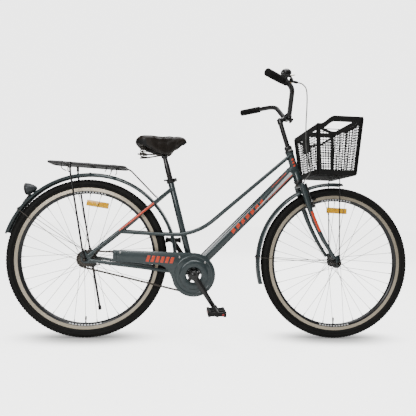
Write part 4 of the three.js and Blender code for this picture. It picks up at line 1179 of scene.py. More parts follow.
for wheel, guard in MUDGUARDS.items():
    outer, inner = [], []
    for step in range(17):
        angle = math.radians(-90 + 180 * step / 16)
        outer.append((guard["radius"] - GUARD_DEPTH * (1 - math.cos(angle)), GUARD_HALF * math.sin(angle)))
        inner.append((
            guard["radius"] - SHEET - (GUARD_DEPTH - SHEET) * (1 - math.cos(angle)),
            (GUARD_HALF - SHEET) * math.sin(angle),
        ))
    sweep = guard["end"] - guard["start"]
    strip = turned(outer + inner[::-1], 90, closed=True, start=guard["start"], sweep=sweep)
    moved(strip, Matrix.Translation(at(guard["x"], 0, guard["z"])))
    pieces = [strip]
    for side in SIDES.values():
        edge = [
            guard_point(guard, guard["start"] + sweep * k / 90, -GUARD_DEPTH, side * (GUARD_HALF - 0.4))
            for k in range(91)
        ]
        pieces.append(tube(edge, 1.5, 8))
    crown = [guard_point(guard, guard["start"] + sweep * k / 90, 0.1) for k in range(91)]
    pieces.append(tube(crown, 1, 8, section=(3.4, 0.9)))
    done(merged(*pieces), wheel + "_mudguard", guard["body"], enamel, [wheel + "_fender"])

# %% Mudguard stays
for wheel, guard in MUDGUARDS.items():
    half = WHEELS[wheel]["half"]
    axle = WHEELS[wheel]["place"]
    low = half + 5.3
    loop_y = low + 1.5
    way = (guard_point(guard, guard["stay"]) - axle).normalized()
    pieces = []
    for side in SIDES.values():
        start, leave = axle + way * 0.0075, axle + way * 0.032
        corners = [
            start + Y * side * loop_y * MM, leave + Y * side * loop_y * MM,
            guard_point(guard, guard["stay"], -12, side * (GUARD_HALF + 7)),
            guard_point(guard, guard["stay"], 1.8, side * (GUARD_HALF - 4)),
            guard_point(guard, guard["stay"], 2.2, 0),
        ]
        pieces.append(tube(bent(corners, 12), 1.5, 10))
        eye = turned([(5.8, low), (8.6, low), (9, low + 0.5), (9, low + 2.5), (8.6, low + 3), (5.8, low + 3)],
                     24, closed=True)
        moved(eye, Matrix.Scale(side, 4, Y))
        pieces.append(moved(eye, Matrix.Translation(axle)))
    tab = tube([guard_point(guard, guard["stay"] - 1.6, 0.9), guard_point(guard, guard["stay"] + 1.6, 0.9)],
               1, 12, section=(7, 1.3))
    bolt = on_line(hexagon(7, 0, 4), guard_point(guard, guard["stay"], 1.5),
                   guard_point(guard, guard["stay"], 5) - guard_point(guard, guard["stay"], 0))
    done(merged(*pieces, tab, bolt), wheel + "_mudguard_stay", guard["body"], dark_steel,
         [wheel + "_fender_stay"])

bridge_screws = []
for place, way in (
    (guard_point(MUDGUARDS["rear"], 42.5, 0.6), X + Z * 0.9),
    (guard_point(MUDGUARDS["rear"], 92, 0.6), Z),
    (guard_point(MUDGUARDS["rear"], 5, 0.6), X),
):
    head_profile = [(0, 0), (5, 0), (5, 0.8), (3.6, 2.4), (0, 3)]
    bridge_screws.append(on_line(turned(head_profile, 20), place, way))
done(merged(*bridge_screws), "rear_mudguard_screws", "frame", zinc)

# %% [markdown]
# ## Rear rack
# The deck is one black rod bent to a long loop, with two thinner rods and three pressed strips across
# it. A flattened rod holds its front down to the frame's bridge, and a leg each side reaches the axle.

# %% Rack deck
DECK = dict(rear=-178, front=158, rear_z=779, front_z=766, half=58, rod=5)


def deck_at(x, y=0, below=0):
    share = (DECK["front"] - x) / (DECK["front"] - DECK["rear"])
    return at(x, y, DECK["front_z"] + (DECK["rear_z"] - DECK["front_z"]) * share - below)


half = DECK["half"]
corners = [
    deck_at(0, -half), deck_at(DECK["rear"], -half), deck_at(DECK["rear"], half),
    deck_at(DECK["front"], half), deck_at(DECK["front"], -half), deck_at(1, -half),
]
pieces = [tube(bent(corners, 26, 10), DECK["rod"], 20)]
for y in (-20, 20):
    pieces.append(tube([deck_at(DECK["rear"], y), deck_at(DECK["front"], y)], 3, 14))
deck_tilt = math.atan2(DECK["rear_z"] - DECK["front_z"], DECK["front"] - DECK["rear"])
for x in (-120, 0, 110):
    strip = block((-11, -half, 2.5), (11, half, 6), 0.8)
    ridge = block((-6, -half + 8, 5.4), (6, half - 8, 6.4), 0.4)
    pieces.append(moved(
        merged(strip, ridge), Matrix.Translation(deck_at(x)) @ Matrix.Rotation(deck_tilt, 4, "Y"),
    ))
for side in SIDES.values():
    for x in (78, 104):
        hook = bent([deck_at(x, side * half, 2), deck_at(x, side * (half + 4), 20),
                     deck_at(x - 6, side * (half + 4), 29)], 6)
        pieces.append(tube(hook, 2.0, 12))
    drop = bent([deck_at(-118, side * (half - 6), 0), deck_at(-118, side * (half - 6), 26),
                 deck_at(-100, side * (half - 20), 34)], 10)
    pieces.append(tube(drop, 2.2, 12))
front_stay = bent([deck_at(DECK["front"] - 2), at(178, 0, 757), at(296, 0, 640)], 10)
pieces.append(tube(front_stay, 3.6, 14))
pieces.append(tube([at(282, 0, 654), at(303, 0, 633)], 1, 20, section=(8, 1.8)))
done(merged(*pieces), "rack_deck_rods", "frame", black_enamel, ["rack_deck"])
stay_bolt = on_line(merged(hexagon(10, 1.4, 6), turned([(0, 0.6), (7.5, 0.6), (7.5, 1.6), (0, 1.6)], 24)),
                    at(296, 0, 640), X + Z)
done(stay_bolt, "rack_stay_bolt", "frame", zinc)

# %% Rack legs
for name, side in SIDES.items():
    y = side * (half + 2 * DECK["rod"] + 0.3)
    corners = [deck_at(-77, y, -3), at(-75, y, 735), at(-7, side * 70.6, 379)]
    leg = tube(bent(corners, 20), 4.2, 16)
    clamp = tube([at(-77.4, y, 779), at(-76, y, 752)], 6.2, 18, widths=[0.86, 1])
    inner_end = at(-76.6, side * (half + 3), 771)
    bolt = on_line(hexagon(8, 0, 5), at(-76.8, y + side * 5.6, 768), Y * side)
    tie = tube([inner_end, at(-76.6, y, 771)], 3.4, 12)
    foot_start, foot_end = at(-10, side * 70.4, 394), at(0, side * 70.9, 357)
    foot = tube([foot_start, foot_end], 1, 20, section=(1.6, 6.2))
    eye = moved(
        turned([(5.6, 69.2), (9.4, 69.2), (9.4, 72), (5.6, 72)], 24, closed=True), Matrix.Scale(side, 4, Y),
    )
    moved(eye, Matrix.Translation(REAR))
    done(merged(leg, clamp, bolt, tie, foot, eye), "rack_leg_rod_" + name, "frame",
         black_enamel, ["rack_leg_" + name])

# %% [markdown]
# ## Tail reflector
# The tail reflector looks like a small lamp: a grey teardrop of plastic bolted to the mudguard, with a
# black rim and a red lens whose back is moulded into rings of small prisms.

# %% Tail reflector
LENS_CENTRE, LENS_NOSE = at(-279, 0, 657.5), at(-229, 0, 664)
lens_way = LENS_NOSE - LENS_CENTRE
housing = on_line(turned(
    [(0, 1), (23, 1), (25.6, 2), (26.2, 4), (25.4, 10), (22.6, 18), (17.5, 29), (12, 37.6), (8, 42), (4, 45),
     (0, 46)], 56), LENS_CENTRE, lens_way)
rim_ring = on_line(turned(
    [(22.4, -3.6), (25.6, -4.2), (27.2, -2.4), (27.4, 1.2), (26.2, 3.2), (22.8, 2.4)], 56, closed=True),
    LENS_CENTRE, lens_way)
done(housing, "tail_reflector_shell", "frame", grey_plastic, ["tail_reflector_housing"])
done(rim_ring, "tail_reflector_rim", "frame", black_plastic)
lens_profile = [(0, -4.6)]
for ring_index in range(1, 8):
    radius = ring_index * 3.0
    lens_profile += [(radius - 0.4, -4.6 + 0.08 * ring_index), (radius, -4.0 + 0.08 * ring_index)]
lens_profile += [(22.3, -3.4), (22.3, -0.4), (0, -0.4)]
lens = on_line(turned(lens_profile, 56), LENS_CENTRE, lens_way)
done(lens, "tail_reflector_prisms", "frame", red_plastic, ["tail_reflector_lens"])
tail_bracket = tube([at(-262, 0, 636), guard_point(MUDGUARDS["rear"], 141, -1)], 5, 16)
done(tail_bracket, "tail_reflector_bracket", "frame", black_plastic)

# %% [markdown]
# ## Chain guard
# The guard is a pressed steel case open at the back: a flat face, a lip all round, and a raised ring
# pressed into the disc round the crank. The face is a flat outline with a round hole, and the ring is
# turned with a soft shoulder, as pressing leaves it.

# %% Chain guard
GUARD_DISC = 97
GUARD_FACE = -66


def guard_outline(inset):
    radius = GUARD_DISC - inset
    tail = 119 + inset
    points = [(tail, 399 - inset), (tail, 352 + inset), (318, 337 + inset)]
    landing = arc((475, 295), radius, 205, 205, 1)[0]
    control = (366 + inset, 334 + inset)
    for step in range(1, 9):
        t = step / 8
        points.append(tuple(
            (1 - t) ** 2 * p + 2 * t * (1 - t) * c + t * t * q
            for p, c, q in zip((318, 337 + inset), control, landing)
        ))
    return points + arc((475, 295), radius, 205, 450, 60)[1:]


face = plate([guard_outline(0), arc((475, 295), 33, 0, 354, 59)], GUARD_FACE, GUARD_FACE + 1.6, 0.6)
lip = plate([guard_outline(0), guard_outline(1.6)], GUARD_FACE + 1, GUARD_FACE + 12, 0.3)
raised = moved(turned(
    [(33, -1.2), (34.4, -3.4), (36.5, -4.4), (58, -4.4), (61, -3.6), (63.4, -1.6), (65.4, 0.4), (62, 0.6),
     (57, -2.9), (37, -2.9), (35, -1.8), (34.2, 0.6)], 96, closed=True),
    Matrix.Translation(BRACKET + Y * GUARD_FACE * MM))
outer_step = moved(turned(
    [(78, 0.4), (80, -1.1), (83, -1.5), (85.4, -1.1), (87.4, 0.4)], 96, closed=True),
    Matrix.Translation(BRACKET + Y * GUARD_FACE * MM))
bands = []
for z_low, z_high in ((352, 355),):
    bands.append(plate([[(124, 392), (124, 359), (136, 358), (136, 391)]], GUARD_FACE - 1.2, GUARD_FACE + 0.4,
                       0.5))
done(merged(face, lip, raised, outer_step, *bands), "chain_guard_case", "frame", enamel,
     ["chain_guard"])

slants = []
for index in range(6):
    x = 262 + index * 21
    base = 351 - index * 1.2
    outline = [(x, base), (x + 13, base - 0.7), (x + 21, base + 26), (x + 8, base + 26.7)]
    slants.append(plate([outline], GUARD_FACE - 0.3, GUARD_FACE + 0.2, 0.1))
done(merged(*slants), "chain_guard_bars", "frame", orange_film)
guard_bolts = []
for x, z in ((150, 389), (410, 372), (524, 350)):
    bolt = turned([(0, -3), (3.4, -2.6), (5, -1), (5, 0.2), (0, 0.2)], 20)
    guard_bolts.append(moved(bolt, Matrix.Translation(at(x, GUARD_FACE, z))))
done(merged(*guard_bolts), "chain_guard_screws", "frame", zinc)
print("guards and rack done")

# %% [markdown]
# ## Drive
# The chain is half-inch pitch: inner and outer pairs of waisted plates, joined by rollers. The
# chainring and the sprocket are cut from plate with a tooth for each link. A tooth is drawn as a short
# rise and fall on the outline, and the loop that draws it works out all the others.

# %% Sprocket outlines
PITCH = 12.7
CHAIN_LINE = -48
RING_TEETH, SPROCKET_TEETH = 42, 18


def pitch_radius(teeth):
    return PITCH / 2 / math.sin(math.pi / teeth)


def toothed(centre, teeth, turn=0):
    radius = pitch_radius(teeth)
    points = []
    for tooth in range(teeth):
        for share, height in ((0.0, -3.9), (0.14, -3.3), (0.27, -0.6), (0.40, 2.6), (0.5, 3.4), (0.60, 2.6),
                              (0.73, -0.6), (0.86, -3.3)):
            angle = 2 * math.pi * (tooth + share) / teeth + turn
            points.append((
                centre[0] + (radius + height) * math.cos(angle),
                    centre[1] + (radius + height) * math.sin(angle),
            ))
    return points


ring_holes = []
for index in range(5):
    start = 72 * index + 18 + 10
    ring_holes.append(arc((475, 295), 66, start, start + 52, 10) + arc((475, 295), 27, start + 46,
        start + 6, 6))
chainring = plate([toothed((475, 295), RING_TEETH), *ring_holes], CHAIN_LINE - 1.2, CHAIN_LINE + 1.2, 0.3)
sprocket = plate(
    [toothed((0, 355), SPROCKET_TEETH), arc((0, 355), 12, 0, 350, 35)], CHAIN_LINE - 1.2, CHAIN_LINE + 1.2,
    0.3,
)
sprocket_hub = moved(
    turned([(12, -5), (20, -5), (21, -4), (21, 5), (20, 6), (12, 6)], 36, closed=True),
    Matrix.Translation(REAR + Y * CHAIN_LINE * MM),
)
done(merged(sprocket, sprocket_hub), "freewheel_sprocket", "sprocket", dark_steel,
     ["rear_sprocket"])

# %% Chain


def chain_route():
    """Points one pitch apart round both wheels."""
    large, small = pitch_radius(RING_TEETH), pitch_radius(SPROCKET_TEETH)
    front, rear = Vector((475, 0, 295)), Vector((0, 0, 355))
    span = (front - rear).length
    slope = math.atan2(front.z - rear.z, front.x - rear.x)
    spread = math.asin((large - small) / span)
    top, bottom = slope + math.pi / 2 + spread, slope - math.pi / 2 - spread
    dense = []
    for step in range(200):
        angle = bottom + (top - bottom) * step / 199
        dense.append(front + Vector((math.cos(angle), 0, math.sin(angle))) * large)
    for step in range(200):
        angle = top + (bottom + 2 * math.pi - top) * step / 199
        dense.append(rear + Vector((math.cos(angle), 0, math.sin(angle))) * small)
    dense.append(dense[0])
    total = sum((b - a).length for a, b in zip(dense, dense[1:]))
    count = 2 * round(total / PITCH / 2)
    points, travelled, wanted = [], 0, 0
    for a, b in zip(dense, dense[1:]):
        stretch = (b - a).length
        while wanted <= travelled + stretch and len(points) < count:
            points.append(a + (b - a) * ((wanted - travelled) / max(stretch, 1e-9)))
            wanted += total / count
        travelled += stretch
    return points


def link(half_gap, thickness):
    """Two waisted plates, one on each side of the chain, with their length along x."""
    outline = []
    for angle in (90, 135, 180, 225, 270):
        outline.append((4.1 * math.cos(math.radians(angle)), 4.1 * math.sin(math.radians(angle))))
    outline.append((PITCH / 2, -2.9))
    for angle in (270, 315, 0, 45, 90):
        outline.append((PITCH + 4.1 * math.cos(math.radians(angle)), 4.1 * math.sin(math.radians(angle))))
    outline.append((PITCH / 2, 2.9))
    plates = []
    for side in SIDES.values():
        ends = sorted((side * half_gap, side * (half_gap + thickness)))
        bare = plate([outline], *ends, edge=0.01)
        plates.append(moved(bare, Matrix.Translation((-REAR.x, 0, 0))))
    return merged(*plates)


stops = chain_route()
outer_link, inner_link = link(3.2, 1.0), link(2.1, 1.0)
roller = turned([(0, -4.5), (1.9, -4.5), (1.9, -2.2), (3.8, -2.2), (3.8, 2.2), (1.9, 2.2), (1.9, 4.5),
    (0, 4.5)], 8)
chain_pieces = []
for index, stop in enumerate(stops):
    following = stops[(index + 1) % len(stops)]
    lean = -math.atan2(following.z - stop.z, following.x - stop.x)
    home = Matrix.Translation(at(stop.x, CHAIN_LINE, stop.z)) @ Matrix.Rotation(lean, 4, "Y")
    chain_pieces.append(copied(outer_link if index % 2 else inner_link, home))
    chain_pieces.append(copied(roller, home))
for pattern in (outer_link, inner_link, roller):
    bpy.data.objects.remove(pattern)
done(merged(*chain_pieces), "roller_chain", "frame", dark_steel, ["chain"])
print("links in the chain", len(stops))

# %% [markdown]
# Each crank is a forged arm, thick at the axle and slimmer at the pedal, with an eye at both ends. A
# tapered oval tube gives the arm, and turned bosses give the eyes. The right one carries the chainring
# on a five-armed spider.

# %% Cranks
right_eye = Vector(JOINT["right_pedal_spin"]["pos_m"])
left_eye = Vector(JOINT["left_pedal_spin"]["pos_m"])


def crank_arm(eye, side):
    low, high = side * 76, side * 90
    middle = (low + high) / 2
    start, end = BRACKET + Y * middle * MM, Vector((eye.x, middle * MM, eye.z))
    points = [start + (end - start) * k / 10 for k in range(11)]
    widths = [1.12, 1.06, 1.0, 0.95, 0.90, 0.86, 0.82, 0.79, 0.77, 0.76, 0.76]
    arm = tube(points, 1, 24, widths, section=(6.2, 13.5))
    boss = moved(turned([(0, middle - 7), (17, middle - 7), (18.6, middle - 5.4), (18.6, middle + 5.4),
                         (17, middle + 7), (0, middle + 7)], 40), Matrix.Translation(BRACKET))
    eye_ring = turned([(0, middle - 7), (12.4, middle - 7), (13.6, middle - 5.8), (13.6, middle + 5.8),
                       (12.4, middle + 7), (0, middle + 7)], 36)
    moved(eye_ring, Matrix.Translation(Vector((eye.x, 0, eye.z))))
    cap = moved(turned([(0, side * 90), (11.5, side * 90), (11.5, side * 91), (9.5, side * 92),
        (0, side * 92.4)],
                       36), Matrix.Translation(BRACKET))
    rib_start, rib_end = start + (end - start) * 0.16, start + (end - start) * 0.86
    rib = tube([rib_start + Y * side * 5.6 * MM, rib_end + Y * side * 4.4 * MM], 1, 12, section=(0.9, 4.5))
    return merged(arm, boss, eye_ring, cap, rib)


spider = []
for index in range(5):
    arm = tube(
        [Vector((20, 4, 0)) * MM, Vector((40, 1, 0)) * MM, Vector((70, 0, 0)) * MM], 1, 12,
        widths=[1.25, 1.0, 0.8], section=(2.6, 7),
    )
    moved(arm, Matrix.Rotation(-math.radians(72 * index + 18), 4, "Y"))
    spider.append(moved(arm, Matrix.Translation(BRACKET + Y * (CHAIN_LINE - 4) * MM)))
    bolt = turned([(0, -7.4), (4, -7.4), (4.6, -6.6), (4.6, 2), (0, 2)], 16)
    moved(bolt, Matrix.Rotation(-math.radians(72 * index + 18), 4, "Y") @ Matrix.Translation((0.0665, 0, 0)))
    spider.append(moved(bolt, Matrix.Translation(BRACKET + Y * CHAIN_LINE * MM)))
hub = moved(turned([(9, -76), (20, -76), (22, -72), (23, -56), (25.5, -50), (25.5, -46.6), (9, -46.6)], 40,
                   closed=True), Matrix.Translation(BRACKET))
done(merged(crank_arm(right_eye, -1), hub, *spider), "right_crank_arm", "crankset",
     black_enamel, ["crank_right"])
done(chainring, "chainring_plate", "crankset", black_enamel)
done(crank_arm(left_eye, 1), "left_crank_arm", "crankset", black_enamel, ["crank_left"])
axle = moved(turned([(0, -75.6), (7, -75.6), (8.4, -42), (8.4, 42), (7, 75.6), (0, 75.6)], 24),
             Matrix.Translation(BRACKET))
done(axle, "bracket_axle", "crankset", zinc, ["crank_axle"])

# %% [markdown]
# A city pedal is a plastic cage: a barrel on the axle, two long side bars with a row of grip studs, and
# cross bars between them. A small red reflector is set in each side bar.

# %% Pedals


def pedal(side):
    low, high = sorted((side * 108, side * 203))
    barrel = turned([(5.6, low), (10, low), (11, low + 1.5), (11, high - 1.5), (10, high), (5.6, high)], 28,
                    closed=True)
    pieces = [barrel]
    for x in (-1, 1):
        pieces.append(block((x * 32 - 6, low + 1, -11), (x * 32 + 6, high - 1, 11), 2.6, 3))
        for index in range(9):
            y = low + 9 + index * 9.6
            for z in (-1, 1):
                pieces.append(block((x * 32 - 4.6, y - 2.4, z * 10.2 - 1.8),
                    (x * 32 + 4.6, y + 2.4, z * 10.2 + 1.8),
                                    0.8, 1))
    for y in (low + 1, (low + high) / 2 - 6, high - 13):
        pieces.append(block((-30, y, -8.4), (30, y + 12, 8.4), 2, 2))
    cap_y = side * 203
    pieces.append(turned([(0, cap_y - side * 1), (8, cap_y - side * 1), (8, cap_y), (6, cap_y + side * 0.4),
                          (0, cap_y + side * 0.4)], 24))
    return merged(*pieces)


def pedal_reflectors(side):
    pieces = []
    for x in (-1, 1):
        ends = sorted((x * 37.2, x * 38.6))
        pieces.append(block((ends[0], side * 132, -5.5), (ends[1], side * 178, 5.5), 0.6, 2))
    disc = turned([(0, side * 202.4), (4.8, side * 202.4), (4.8, side * 203), (3.6, side * 203.3),
        (0, side * 203.3)],
                  20)
    pieces.append(moved(disc, Matrix.Translation((0.024, 0, -0.001))))
    return merged(*pieces)


for name, side, eye in (("right", -1, right_eye), ("left", 1, left_eye)):
    home = Matrix.Translation(Vector((eye.x, 0, eye.z)))
    done(moved(pedal(side), home), name + "_pedal_cage", name + "_pedal", black_plastic,
         ["pedal_" + name])
    done(moved(pedal_reflectors(side), home), name + "_pedal_reflectors", name + "_pedal",
         red_plastic)
    spindle = turned([(0, side * 88), (8, side * 88), (8, side * 96), (5, side * 97), (5, side * 200),
                      (0, side * 200)], 24)
    done(moved(spindle, home), name + "_pedal_spindle", "crankset", zinc)

# %% [markdown]
# ## Side stand
# The stand is a bent rod on a cheek plate behind the left dropout, with a plastic shoe at its foot. It
# stands down at rest and turns back about its pin.

# %% Side stand
STAND = Vector(JOINT["kickstand_fold"]["pos_m"])
cheek_outline = bent([at(x, 0, z) for x, z in ((-12, 306), (18, 306), (26, 322), (24, 334), (-12, 340),
    (-12, 306))],
                     4, 3)
cheek = plate([[((p.x - REAR.x) / MM, p.z / MM) for p in cheek_outline[:-1]]], 70, 74, 0.7)
pin = moved(turned([(0, 70), (5, 70), (5, 90), (7.6, 90.3), (7.6, 92), (5, 93.4), (0, 93.6)], 28),
            Matrix.Translation(Vector((STAND.x, 0, STAND.z))))
done(merged(cheek, pin), "stand_bracket_plate", "frame", black_enamel, ["kickstand_bracket"])
foot = at(22, 205, 84)
stand_route = bent([at(4, 79, 318), at(6, 92, 296), foot], 14)
leg = tube(stand_route, 5.5, 18)
knuckle = moved(turned([(5.4, 74.3), (10.2, 74.3), (11, 75.1), (11, 88.9), (10.2, 89.7), (5.4, 89.7)], 32,
                       closed=True), Matrix.Translation(Vector((STAND.x, 0, STAND.z))))
spur = tube(bent([at(12, 88, 318), at(22, 96, 312), at(34, 104, 314)], 8), 3.2, 12)
done(merged(leg, knuckle, spur), "stand_leg_rod", "stand", black_enamel, ["kickstand_leg"])
shoe_way = at(24, 214, 62) - foot
shoe = on_line(turned([(5.6, -13), (7.4, -13), (8, -12), (8, 2), (9, 4), (8, 6.4), (0, 6.4), (0, 0),
    (5.6, 0)],
                      28), foot, shoe_way)
done(shoe, "stand_shoe", "stand", grip_rubber)
print("drive and stand done")

# %% [markdown]
# ## Seat post, clamp and quick release
# The post is a plain black tube. The seat tube's mouth is
# squeezed by a collar with two ears, pulled together by a bolt with a small lever.

# %% Seat post and clamp
SEAT_AXIS = seat_line(1) - seat_line(0)
POST_TOP = 545
post = on_line(turned(
    [(0, 0), (12.4, 0), (12.7, 0.6), (12.7, POST_TOP - 238), (11.9, POST_TOP - 228), (11.1, POST_TOP - 224),
     (11.1, POST_TOP - 200.6), (10.6, POST_TOP - 200), (0, POST_TOP - 200)], 40), seat_line(200), SEAT_AXIS)
done(post, "seat_post_tube", "seat", black_enamel, ["seat_post"])

collar = on_line(turned(
    [(15, -16), (18.6, -16), (19.5, -15), (19.5, -11), (18.4, -10), (18.4, -4), (19.5, -3), (19.5, 1),
     (18.6, 2), (15, 2)], 48, closed=True), seat_line(SEAT_LENGTH), SEAT_AXIS)
ears = []
seat_tilt = math.asin(-SEAT_UP.x)
for y in (-6, 6):
    ear = block((16, y - 3, -14), (30, y + 3, 0), 2.2, 3)
    moved(ear, Matrix.Rotation(-seat_tilt, 4, "Y"))
    ears.append(moved(ear, Matrix.Translation(seat_line(SEAT_LENGTH))))
bolt_place = Vector(JOINT["seat_clamp_lever_turn"]["pos_m"])
bolt_place.y = 0
bolt = turned([(0, -25), (3, -25), (3, 17), (0, 17)], 20)
acorn = turned([(3, -18), (6.4, -18), (7.2, -19), (7.2, -23), (5.4, -26.4), (2, -28), (0, -28), (0, -18)], 24)
moved(merged(bolt, acorn), Matrix.Translation(bolt_place))
bolt = bpy.context.object
done(merged(collar, *ears, bolt), "seat_collar", "frame", black_enamel, ["seat_clamp"])
lever_hub = moved(turned([(3.5, 10.5), (5.4, 10.5), (6, 11), (6, 20.4), (5.4, 21), (3.5, 21)], 32,
    closed=True),
                  Matrix.Translation(bolt_place))
lever_route = bent([bolt_place + Vector((5, 23, 0)) * MM, bolt_place + Vector((-22, 26.5, 1)) * MM,
                    bolt_place + Vector((-54, 26.5, -2)) * MM], 14)
lever_widths = [0.8 + 0.35 * math.sin(math.pi * k / (len(lever_route) - 1)) for k in range(len(lever_route))]
lever = tube(lever_route, 1, 20, lever_widths, section=(2.4, 5.0))
done(merged(lever_hub, lever), "seat_collar_lever", "clamp_lever", black_enamel,
     ["seat_clamp_lever"])

# %% [markdown]
# ## Saddle
# A comfort saddle is foam under artificial leather on a plastic shell. Its shape is drawn by a few
# curves: the half width along its length, the height of its top, and the depth of its skirt. A mesh a few
# millimetres small is shaped by them, remeshed and blown up as cloth. Of the movement only the outward
# part is kept, up to a limit.

# %% Saddle shape
SADDLE_BACK, SADDLE_NOSE = 193, 436


def eased(pairs, t):
    """A smooth value through (place, value) pairs."""
    if t <= pairs[0][0]:
        return pairs[0][1]
    for (a, p), (b, q) in zip(pairs, pairs[1:]):
        if t <= b:
            s = (t - a) / (b - a)
            return p + (q - p) * s * s * (3 - 2 * s)
    return pairs[-1][1]


HALF_WIDTH = [(0, 56), (0.08, 80), (0.18, 88), (0.30, 85), (0.46, 66), (0.62, 44), (0.8, 29), (0.93, 23),
    (1, 17)]
TOP_HEIGHT = [(0, 894), (0.04, 906), (0.12, 912), (0.45, 914), (0.7, 922), (0.83, 927), (0.92, 924),
    (0.97, 915),
              (1, 904)]
SKIRT_LOW = [(0, 879), (0.04, 871), (0.28, 849), (0.44, 832), (0.56, 826), (0.64, 830), (0.79, 860),
    (0.93, 885),
             (1, 896)]


def saddle_form(rows=44, columns=48, swell=0.0):
    """A closed shape: rings across the saddle, from its back to its nose, each a rounded section."""
    bpy.ops.object.select_all(action="DESELECT")
    bpy.ops.mesh.primitive_cylinder_add(vertices=columns, radius=1, depth=1, end_fill_type="NGON")
    piece = bpy.context.object
    bpy.ops.object.mode_set(mode="EDIT")
    bpy.ops.mesh.select_all(action="DESELECT")
    bpy.ops.object.mode_set(mode="OBJECT")
    for edge in piece.data.edges:
        a, b = (piece.data.vertices[i].co.z for i in edge.vertices)
        edge.select = abs(a - b) > 0.5
    bpy.ops.object.mode_set(mode="EDIT")
    bpy.ops.mesh.select_mode(type="EDGE")
    bpy.ops.mesh.subdivide(number_cuts=rows)
    bpy.ops.object.mode_set(mode="OBJECT")
    for vertex in piece.data.vertices:
        t = vertex.co.z + 0.5
        angle = math.atan2(vertex.co.y, vertex.co.x)
        # Rings are drawn together at both ends, so the shape closes in a round.
        t_place = 0.5 - 0.5 * math.cos(math.pi * t)
        half = eased(HALF_WIDTH, t_place) * (0.5 + 0.5 * min(1, math.sin(math.pi * t) * 4))
        half = max(half - swell, 2)
        top, low = eased(TOP_HEIGHT, t_place), eased(SKIRT_LOW, t_place)
        top, low = top - swell, low + swell
        c, s = math.cos(angle), math.sin(angle)
        dome = min(15, 0.5 * (top - low))
        crown = top - dome
        if s >= 0:
            across = math.copysign(abs(c) ** 0.62, c) * half
            channel = 5 * math.exp(-(across / 12) ** 2) * eased([(0, 0.3), (0.2, 0.8), (0.6, 1),
                (0.9, 0.2)], t_place)
            rise = crown + max(dome - channel, 0) * s ** 0.8
        else:
            # The side drops to the lip, turns in under it, and rises to the flat underside.
            turn = math.atan2(-s, abs(c)) / (math.pi / 2)
            lip = max(0.93 * half - 10, 0)
            if turn <= 0.45:
                reach = half * (1 - 0.07 * (turn / 0.45) ** 1.5)
                rise = crown + (low - crown) * turn / 0.45
            else:
                inward = (turn - 0.45) / 0.55
                reach = lip * (1 - inward)
                rise = low + (max(low, crown - 9) - low) * min(1, inward * 3)
            across = math.copysign(reach, c) if abs(c) > 1e-6 else 0
        along = SADDLE_BACK + swell + (SADDLE_NOSE - SADDLE_BACK - 2 * swell) * t_place
        vertex.co = at(along, across, rise)
    return welded(piece)


FOAM_START_SMALL = 4
FOAM_VOXEL = 0.0042
FOAM_PRESSURE = 4
FOAM_FRAMES = 20
FOAM_CAP = 0.005
cover = saddle_form(swell=FOAM_START_SMALL)
modified(cover, "REMESH", mode="VOXEL", voxel_size=FOAM_VOXEL)
before = [(vertex.co.copy(), vertex.normal.copy()) for vertex in cover.data.vertices]
pick(cover)
cloth = cover.modifiers.new("foam_swell", "CLOTH")
cloth.settings.use_pressure = True
cloth.settings.uniform_pressure_force = FOAM_PRESSURE
cloth.settings.effector_weights.gravity = 0
cloth.settings.quality = 6
for frame_number in range(1, FOAM_FRAMES + 1):
    bpy.context.scene.frame_set(frame_number)
bpy.ops.object.modifier_apply(modifier=cloth.name)
swellings = []
for vertex, (rest, outward) in zip(cover.data.vertices, before):
    # Only the swelling counts, not the skin's slide over itself, which would wrinkle it.
    swelling = (vertex.co - rest).dot(outward)
    swellings.append(swelling)
    vertex.co = rest + outward * max(0, min(FOAM_CAP, swelling))
swellings.sort()
spread = [round(swellings[int(q * (len(swellings) - 1))] / MM, 1) for q in (0.1, 0.5, 0.9, 1)]
print("outward swelling before the limit, at 10, 50, 90 and 100 %:", spread, "mm")
bpy.context.scene.frame_set(1)
modified(cover, "SMOOTH", factor=0.5, iterations=9)
modified(cover, "SUBSURF", levels=1, render_levels=1)
low, high = min(v.co.z for v in cover.data.vertices), max(v.co.z for v in cover.data.vertices)
print("saddle from", round(low, 4), "to", round(high, 4), "m, faces", len(cover.data.polygons))

# %% [markdown]
# The skin is black-brown artificial leather. Its grain is small round cells between creases, from a
# Voronoi pattern, and its tone and gloss drift a little from place to place.

# %% Saddle leather
leather = finish(
    "saddle_leather", (0.015, 0.0095, 0.006), (0.010, 0.0068, 0.0045), (0.30, 0.38), grain=700, bump=0.05,
    drift=14, Specular_IOR_Level=0.45,
)


def add_leather_cells(material, scale):
    tree = material.node_tree
    place = tree.nodes.new("ShaderNodeTexCoord")
    cells = tree.nodes.new("ShaderNodeTexVoronoi")
    cells.feature = "DISTANCE_TO_EDGE"
    cells.inputs["Scale"].default_value = scale
    tree.links.new(place.outputs["Object"], cells.inputs["Vector"])
    crease = tree.nodes.new("ShaderNodeMapRange")
    crease.inputs["From Max"].default_value = 0.25
    tree.links.new(cells.outputs["Distance"], crease.inputs["Value"])
    add_second_bump(tree, crease.outputs[0], 0.12)


add_leather_cells(leather, 520)
cover = done(cover, "saddle_cushion", "seat", leather, ["saddle_cover"], angle=60)

# %% Saddle seams and base
SEAM_STEPS = 48

